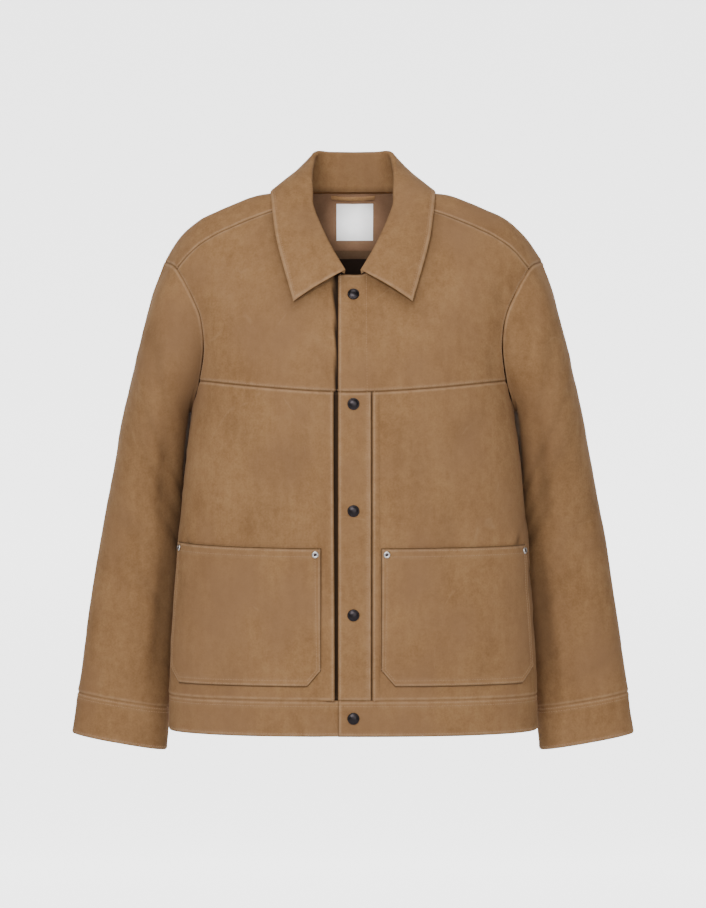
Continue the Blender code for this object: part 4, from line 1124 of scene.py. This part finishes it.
collarPiece = {
    # share from the back centre, roll x, y, z, fall edge x, y, z
    "stations": [
        (0.00, 0.0000, 0.0640, 0.0675, 0.0000, 0.0970, 0.0020),
        (0.12, 0.0300, 0.0620, 0.0677, 0.0480, 0.0880, 0.0020),
        (0.22, 0.0480, 0.0480, 0.0664, 0.0830, 0.0620, 0.0060),
        (0.33, 0.0525, 0.0240, 0.0488, 0.1030, 0.0300, 0.0100),
        (0.42, 0.0530, 0.0000, 0.0290, 0.1075, 0.0000, 0.0085),
        (0.53, 0.0515, -0.0180, 0.0060, 0.1055, -0.0240, -0.0040),
        (0.63, 0.0500, -0.0320, -0.0160, 0.1025, -0.0440, -0.0280),
        (0.81, 0.0305, -0.0690, -0.0635, 0.0960, -0.0680, -0.0660),
        (1.00, 0.0095, -0.0880, -0.1010, 0.0755, -0.0985, -0.1414)],
    "wall": 0.0018, "lift": 0.0014, "sink": 0.00128, "bow": 0.0040, "roll": (0.0024, 0.0038),
    # distances in from the fall's edge where the cloth needs a line of points
    "marks": (0.0080, 0.0066, 0.0055, 0.0044, 0.0030, 0.0018, 0.0008), "roundEdge": 0.0005,
    "roundReach": 0.0012, "tip": 0.0004, "stitchIn": 0.0055, "stitchDrop": 0.00006,
    "swells": 0.9, "baseShade": 0.45, "baseReach": 0.0022,
    # how much thinner roll and cloth are at the front ends, and how far that reaches
    "thinRoll": (0.58, 0.0070), "thinWall": (0.55, 0.0010),
    # distance in from the fall's edge and from the ends, and width, of the rubbed lines
    "wear": (0.0022, 0.0018), "endWear": (0.0018, 0.0016), "standPoints": 14,
    "cut": (0.560, 0.135), "area": 0.0605,
}


neckLine = neckBack + list(reversed(neckFront))[1:]
neckLengths = travelled(neckLine)
neckLength = neckLengths[-1]
neckShares = [length / neckLength for length in neckLengths]


def collarSection(share, side):
    seam = mirrored(Vector([np.interp(share, neckShares, [p[k] for p in neckLine])
                            for k in range(3)]), side)
    values = smooth(collarPiece["stations"], share)
    top = Vector((values[0] * side, *values[1:3]))
    edge = Vector((values[3] * side, *values[4:6]))
    outward = Vector((seam.x, seam.y - 0.005, 0)).normalized()
    upward = (top - seam).normalized()
    base = seam + upward * collarPiece["lift"] - outward * collarPiece["sink"]
    ahead = ((base - top).normalized() + (edge - top).normalized()).normalized()
    before, after = (smooth(collarPiece["stations"], share + step) for step in (-0.01, 0.01))
    lengthwise = Vector(((after[0] - before[0]) * side, after[1] - before[1], after[2] - before[2]))
    across = lengthwise.cross(ahead).normalized()
    if across.dot(outward + Vector((0, 0, 0.5))) < 0:
        across.negate()
    least, most = collarPiece["roll"]
    toEnd = (1 - share) * neckLength
    (lessRoll, rollReach), (lessWall, wallReach) = collarPiece["thinRoll"], collarPiece["thinWall"]
    radius = max(least, min(most, (base - top).length * 0.25))
    radius *= 1 - lessRoll * math.exp(-(toEnd / rollReach) ** 2)
    wall = collarPiece["wall"] * (1 - lessWall * math.exp(-(toEnd / wallReach) ** 2))
    return {"base": base, "centre": top + ahead * radius, "across": across, "ahead": ahead,
            "edge": edge, "radius": radius, "wall": wall}


def collarLine(part, thick):
    # up the stand, over the roll and down the fall, at a depth into the cloth
    reach = part["radius"] - thick
    angles = [math.pi * n / 8 for n in range(9)]
    turn = [part["centre"] - (part["across"] * math.cos(a) + part["ahead"] * math.sin(a)) * reach
            for a in angles]
    foot = part["base"] + part["across"] * thick
    hem = part["edge"] - part["across"] * thick
    length = (hem - turn[-1]).length
    stand = [foot.lerp(turn[0], n / 6) for n in range(6)]
    marks = [n / 9 for n in range(1, 9)]
    marks = [t for t in marks if t * length < length - 0.009]
    marks += [1 - d / length for d in collarPiece["marks"]]
    fall = []
    for t in marks:
        p = turn[-1].lerp(hem, t) + part["across"] * collarPiece["bow"] * math.sin(math.pi * t)
        inFrom = (1 - t) * length
        if thick == 0:
            sink = cloth["stitchSink"] * hump(inFrom, collarPiece["stitchIn"], cloth["stitchReach"])
            sink += collarPiece["roundEdge"] * hump(inFrom, 0, collarPiece["roundReach"])
            p = p - part["across"] * sink
        fall.append(p)
    return stand + turn + fall, hem


def collar():
    ends = [d / neckLength for d in cloth["steps"]]
    count = round((1 - ends[-1]) * neckLength / cloth["mesh"])
    halfShares = [(1 - ends[-1]) * n / count for n in range(count + 1)]
    halfShares += [1 - d for d in reversed(ends[:-1])]
    stations = [(s, -1) for s in reversed(halfShares)] + [(s, 1) for s in halfShares[1:]]
    parts = [collarSection(share, side) for share, side in stations]
    rows = []
    for part in parts:
        outer, hem = collarLine(part, 0.0)
        inner, _ = collarLine(part, part["wall"])
        tipPoint = hem - part["across"] * part["wall"] / 2 + part["ahead"] * collarPiece["tip"]
        rows.append(outer + [tipPoint] + inner[::-1])
    wide = min(len(row) for row in rows)
    rows = [row if len(row) == wide else [along(row, n / (wide - 1)) for n in range(wide)]
            for row in rows]
    points = asArray(rows)
    lifts = np.array([tuple(part["across"]) for part in parts])[:, None, :]
    points = points + lifts * (swell(points) * collarPiece["swells"])[..., None]
    mesh = bpy.data.meshes.new("pointedCollar")
    faces = quads(len(rows), wide, wide)
    mesh.from_pydata(points.reshape(-1, 3).tolist(), [], faces)
    bm = bmesh.new()
    bm.from_mesh(mesh)
    bmesh.ops.holes_fill(bm, edges=[edge for edge in bm.edges if edge.is_boundary])
    bmesh.ops.triangulate(bm, faces=[face for face in bm.faces if len(face.verts) > 4])
    bmesh.ops.recalc_face_normals(bm, faces=bm.faces)
    bm.to_mesh(mesh)
    bm.free()
    wear, shade = np.zeros(points.shape[:2]), np.zeros(points.shape[:2])
    for j, i in np.ndindex(wear.shape):
        part, toEnd = parts[j], (1 - stations[j][0]) * neckLength
        inFrom = (Vector(points[j, i]) - part["edge"]).length
        atEnd = hump(toEnd, *collarPiece["endWear"]) if i > collarPiece["standPoints"] else 0.0
        wear[j, i] = max(hump(inFrom, *collarPiece["wear"]), atEnd)
        # painted shade at the foot of the stand
        fromBase = (Vector(points[j, i]) - part["base"]).length
        shade[j, i] = collarPiece["baseShade"] * hump(fromBase, 0, collarPiece["baseReach"])
    marked(mesh, wear, shade)
    mesh.materials.append(camel)
    obj = added("pointedCollar", mesh)
    mesh.shade_smooth()
    mesh.set_sharp_from_angle(angle=math.radians(60))
    dressed(obj, "camel_suede", "collar", cut=collarPiece["cut"], area=collarPiece["area"])
    return parts, stations


collarParts, collarStations = collar()
line = []
for part, (share, _) in zip(collarParts, collarStations):
    if (1 - share) * neckLength > collarPiece["stitchIn"]:
        start = part["centre"] + part["across"] * part["radius"]
        t = 1 - collarPiece["stitchIn"] / (part["edge"] - start).length
        lift = collarPiece["bow"] * math.sin(math.pi * t) - collarPiece["stitchDrop"]
        line.append(start.lerp(part["edge"], t) + part["across"] * lift)
stitches["collar"].append(line)
print("collar sewn")


# stitches, laid along the lines gathered above with a small tree of nodes

threadWork = {"Pitch": 0.0034, "Length": 0.0027, "Thick": 0.00050}


def stitchTree():
    tree = bpy.data.node_groups.new("runningStitch", "GeometryNodeTree")
    sockets(tree, "INPUT", "Geometry", "Geometry")
    sockets(tree, "INPUT", "Float", "Pitch", "Length", "Thick")
    sockets(tree, "INPUT", "Material", "Thread")
    sockets(tree, "OUTPUT", "Geometry", "Geometry")
    given = node(tree, "NodeGroupInput", -900, 0).outputs
    lines = node(tree, "GeometryNodeMeshToCurve", -700, 100, {"Mesh": given["Geometry"]})
    even = node(tree, "GeometryNodeResampleCurve", -500, 100, mode="LENGTH")
    fed(tree, even, {"Curve": lines.outputs["Curve"], "Length": given["Pitch"]})
    bead = node(tree, "GeometryNodeMeshIcoSphere", -500, -200, {"Radius": 0.5, "Subdivisions": 1})
    size = node(tree, "ShaderNodeCombineXYZ", -500, -400,
                {"X": given["Thick"], "Y": given["Thick"], "Z": given["Length"]})
    direction = node(tree, "GeometryNodeInputTangent", -500, -600)
    turn = node(tree, "FunctionNodeAlignRotationToVector", -300, -500,
                {"Vector": direction.outputs["Tangent"]}, axis="Z")
    place = node(tree, "GeometryNodeInstanceOnPoints", -50, 0,
                 {"Points": even.outputs["Curve"], "Instance": bead.outputs["Mesh"],
                  "Rotation": turn.outputs["Rotation"], "Scale": size.outputs["Vector"]})
    real = node(tree, "GeometryNodeRealizeInstances", 150, 0,
                {"Geometry": place.outputs["Instances"]})
    paint = node(tree, "GeometryNodeSetMaterial", 350, 0,
                 {"Geometry": real.outputs["Geometry"], "Material": given["Thread"]})
    node(tree, "NodeGroupOutput", 550, 0, {"Geometry": paint.outputs["Geometry"]})
    return tree


def sewn(name, lines, tree):
    points, edges = [], []
    for line in lines:
        first = len(points)
        points += [tuple(p) for p in line]
        edges += [(n, n + 1) for n in range(first, len(points) - 1)]
    mesh = bpy.data.meshes.new(name)
    mesh.from_pydata(points, edges, [])
    obj = added(name, mesh)
    modifier = obj.modifiers.new("stitches", "NODES")
    modifier.node_group = tree
    keys = {item.name: item.identifier for item in tree.interface.items_tree
            if item.in_out == "INPUT"}
    for key, value in {**threadWork, "Thread": thread}.items():
        modifier[keys[key]] = value
    dressed(settled(obj), "camel_suede")


runningStitch = stitchTree()
for group, lines in stitches.items():
    if lines:
        sewn(group + "Stitches", lines, runningStitch)
print("stitches laid")


# label and hanger loop

neckTrim = {
    "labelX": (-0.0220, 0.0267), "labelZ": (-0.0480, -0.0010), "labelCut": (0.049, 0.0475),
    "labelWall": 0.0007, "labelSteps": 14, "loopX": 0.0290, "loopZ": (0.0046, 0.0094),
    "loopBow": 0.0042, "loopRound": 0.0007, "loopWall": 0.0010, "loopSteps": (24, 4),
    # the loop's flat size is its whole strap's, and a little less than half of it shows
    "loopCut": (0.0640, 0.0120), "loopShows": 0.45, "lift": 0.0016, "foot": -0.14,
}


def between(ends, share):
    return ends[0] + (ends[1] - ends[0]) * share


def insidePoint(x, z):
    # a point on the lining at this x and height, near the neck
    depth = insideDepth + cloth["liningWall"] + neckTrim["lift"]
    layer = (backPoints - backNormals * depth)[footRow(neckTrim["foot"]):]
    rows = []
    for line in layer:
        column = np.interp(x, line[:, 0], np.arange(len(line)))
        i = min(int(column), len(line) - 2)
        rows.append(line[i] * (1 - column + i) + line[i + 1] * (column - i))
    rows = np.array(rows)
    return Vector([np.interp(z, rows[:, 2], rows[:, k]) for k in range(3)])


def labelPoint(u, v):
    return insidePoint(between(neckTrim["labelX"], u), between(neckTrim["labelZ"], v))


def loopPoint(u, v):
    slack = math.sin(math.pi * u) ** 0.7 * neckTrim["loopBow"]
    rounded = neckTrim["loopRound"] * math.sin(math.pi * v)
    p = insidePoint(neckTrim["loopX"] * (2 * u - 1), between(neckTrim["loopZ"], v))
    return p + Vector((0, -slack - rounded, -slack / 2))


def trim(name, pointAt, columns, rows, wall, material):
    us, vs = [n / columns for n in range(columns + 1)], [n / rows for n in range(rows + 1)]
    return flatPiece(name, asArray(gridOf(us, vs, pointAt)), (0, 0.30, 0.0), wall, material)


label = trim("neckLabel", labelPoint, neckTrim["labelSteps"], neckTrim["labelSteps"],
             neckTrim["labelWall"], labelCloth)
dressed(label, "white_label", "neck_label", cut=neckTrim["labelCut"])
loop = trim("hangerLoop", loopPoint, *neckTrim["loopSteps"], neckTrim["loopWall"], camel)
loopWide, loopHigh = neckTrim["loopCut"]
dressed(loop, "camel_suede", "hanger_loop", cut=neckTrim["loopCut"],
        area=loopWide * loopHigh * neckTrim["loopShows"])
print("label and loop sewn")


# snaps and rivets

snapPiece = {
    "heights": [-0.1324, -0.2715, -0.4053, -0.5359, -0.6657], "x": 0.0005, "lift": 0.0003,
    # radius, height above the cloth
    "profile": [(0.0, 0.0031), (0.0016, 0.00305), (0.0030, 0.0028), (0.0044, 0.0024),
                (0.0055, 0.0019), (0.0061, 0.0015), (0.0064, 0.00145), (0.0068, 0.0015),
                (0.0072, 0.0012), (0.0075, 0.0006), (0.0075, 0.0001), (0.0, 0.0001)],
}
rivetPiece = {
    "drop": 0.0080, "lift": 0.0020,
    "places": {"left": {"inner": 0.0734, "outer": 0.8472},
               "right": {"inner": 0.0845, "outer": 0.8730}},
    "ring": [(0.0018, 0.0002), (0.0019, 0.0009), (0.0024, 0.00125), (0.0032, 0.0013),
             (0.0039, 0.0010), (0.0044, 0.0004), (0.0045, 0.0001), (0.0018, 0.0001),
             (0.0018, 0.0002)],
    "centre": [(0.0, 0.0008), (0.0010, 0.0007), (0.0018, 0.0004), (0.0018, 0.0001), (0.0, 0.0001)],
}


def turned(name, profile, seat, outward, material, steps):
    # a profile of radius and height, turned round the axis that stands on the cloth
    mesh = bpy.data.meshes.new(name)
    edges = [(n, n + 1) for n in range(len(profile) - 1)]
    mesh.from_pydata([(r, 0, h) for r, h in profile], edges, [])
    mesh.materials.append(material)
    obj = added(name, mesh)
    screw = obj.modifiers.new("turn", "SCREW")
    screw.steps = screw.render_steps = steps
    screw.use_merge_vertices = True
    screw.merge_threshold = 0.00001
    settled(obj, 35)
    turn = outward.to_track_quat("Z", "Y").to_matrix().to_4x4()
    obj.data.transform(Matrix.Translation(seat) @ turn)
    bm = bmesh.new()
    bm.from_mesh(obj.data)
    bmesh.ops.remove_doubles(bm, verts=bm.verts, dist=0.000005)
    bmesh.ops.recalc_face_normals(bm, faces=bm.faces)
    bm.to_mesh(obj.data)
    bm.free()
    return obj


for number, z in enumerate(snapPiece["heights"], 1):
    lift = fronts["placketLift"] if body["yokeSeam"] > z > body["bandSeam"] else 0.0
    seat = lifted(bodyPoint, snapPiece["x"], z, lift + snapPiece["lift"])
    outward = (seat - lifted(bodyPoint, snapPiece["x"], z, 0)).normalized()
    cap = turned(f"snap{number}", snapPiece["profile"], seat, outward, gunmetal, 48)
    dressed(cap, "gunmetal", f"snap_{number}")

for name, side in (("left", 1), ("right", -1)):
    surface = panelSurface(side)
    for spot, u in rivetPiece["places"][name].items():
        z = pockets["top"] - rivetPiece["drop"]
        z += pockets["mouthRise"][side] if spot == "outer" else 0.0
        seat = mirrored(lifted(surface, u, z, pockets["gap"] + rivetPiece["lift"]), side)
        outward = (seat - mirrored(surface(u, z), side)).normalized()
        place = name.title() + spot.title()
        ring = turned("rivet" + place, rivetPiece["ring"], seat, outward, silver, 32)
        dressed(ring, "silver_rivet", f"rivet_{name}_{spot}")
        centre = turned("rivetCentre" + place, rivetPiece["centre"], seat, outward, darkCentre, 24)
        dressed(centre, "silver_rivet")
print("snaps and rivets set")


# studio

studio = {
    "lens": 91.36, "sensor": 36, "distance": 3.0, "height": -0.334,
    "paper": (0.82, 0.82, 0.82, 1), "white": (1, 1, 1, 1), "glow": 2.60, "glowFrom": (1.6, 2.4),
    "floor": -1.42, "wall": 3.9, "bend": 0.8, "front": -5.5, "top": 3.6, "halfWidth": 5.5,
    "world": 0.16, "around": 2.40,
    # place, target, size, power
    "boxes": {"keyBox": ((-1.1, -2.9, 1.0), (0, 0, -0.3), (1.5, 1.6), 70),
              "fillBox": ((0.9, -3.4, 0.0), (0, 0, -0.35), (2.4, 2.4), 42),
              "neckBox": ((0, -1.5, 0.30), (0, 0.06, -0.03), (0.35, 0.35), 3.0),
              "topBox": ((0.0, -0.6, 2.2), (0, 0, -0.2), (1.6, 1.2), 22)},
    # place, target, width in degrees, blend, softness, power
    "labelLamp": ((0, -1.4, -0.03), (0.0022, 0.07, -0.025), 2.5, 0.45, 0.02, 140),
}


def sweep():
    # a floor that curves up into a wall; the wall glows, the floor in front of it does not
    wall, floor, bend = studio["wall"], studio["floor"], studio["bend"]
    turns = [math.pi / 2 * n / 24 for n in range(25)]
    profile = [(studio["front"], floor)]
    profile += [(wall - bend + bend * math.sin(a), floor + bend - bend * math.cos(a))
                for a in turns]
    profile += [(wall, studio["top"])]
    mesh = bpy.data.meshes.new("paperSweep")
    wide = studio["halfWidth"]
    points = [(x, y, z) for y, z in profile for x in (-wide, wide)]
    faces = [(2 * n, 2 * n + 1, 2 * n + 3, 2 * n + 2) for n in range(len(profile) - 1)]
    mesh.from_pydata(points, [], faces)
    obj = added("paperSweep", mesh)
    material, tree, shader = blank("paper")
    place = node(tree, "ShaderNodeTexCoord", -700, -300).outputs["Object"]
    split = node(tree, "ShaderNodeSeparateXYZ", -500, -300, {"Vector": place})
    glow = node(tree, "ShaderNodeMapRange", -300, -300,
                {"From Min": studio["glowFrom"][0], "From Max": studio["glowFrom"][1],
                 "To Max": studio["glow"], "Value": split.outputs["Y"]})
    fed(tree, shader, {"Base Color": studio["paper"], "Roughness": 0.9, "Specular IOR Level": 0.1,
                       "Emission Color": studio["white"],
                       "Emission Strength": glow.outputs["Result"]})
    mesh.materials.append(material)
    mesh.shade_smooth()


def aimed(name, data, place, target):
    obj = added(name, data)
    obj.location = place
    obj.rotation_euler = (Vector(target) - Vector(place)).to_track_quat("-Z", "Y").to_euler()


sweep()
for name, (place, target, size, power) in studio["boxes"].items():
    light = bpy.data.lights.new(name, "AREA")
    light.shape = "RECTANGLE"
    light.size, light.size_y = size
    light.energy = power
    aimed(name, light, place, target)
place, target, width, blend, soft, power = studio["labelLamp"]
lamp = bpy.data.lights.new("labelLamp", "SPOT")
lamp.energy, lamp.shadow_soft_size = power, soft
lamp.spot_size, lamp.spot_blend = math.radians(width), blend
aimed("labelLamp", lamp, place, target)

# the surroundings are pale to look at and dim as a light
world = bpy.data.worlds.new("studioWorld")
world.use_nodes = True
seen = node(world.node_tree, "ShaderNodeLightPath", -600, 0).outputs["Is Camera Ray"]
levels = node(world.node_tree, "ShaderNodeMapRange", -300, 0,
              {"To Min": studio["world"], "To Max": studio["around"], "Value": seen})
fed(world.node_tree, world.node_tree.nodes["Background"],
    {"Color": studio["white"], "Strength": levels.outputs["Result"]})
bpy.context.scene.world = world

camera = bpy.data.cameras.new("camera")
camera.lens, camera.sensor_width, camera.sensor_fit = studio["lens"], studio["sensor"], "AUTO"
cameraObject = added("camera", camera)
cameraObject.location = (0, -studio["distance"], studio["height"])
cameraObject.rotation_euler = (math.pi / 2, 0, 0)
bpy.context.scene.camera = cameraObject
print("studio lit")
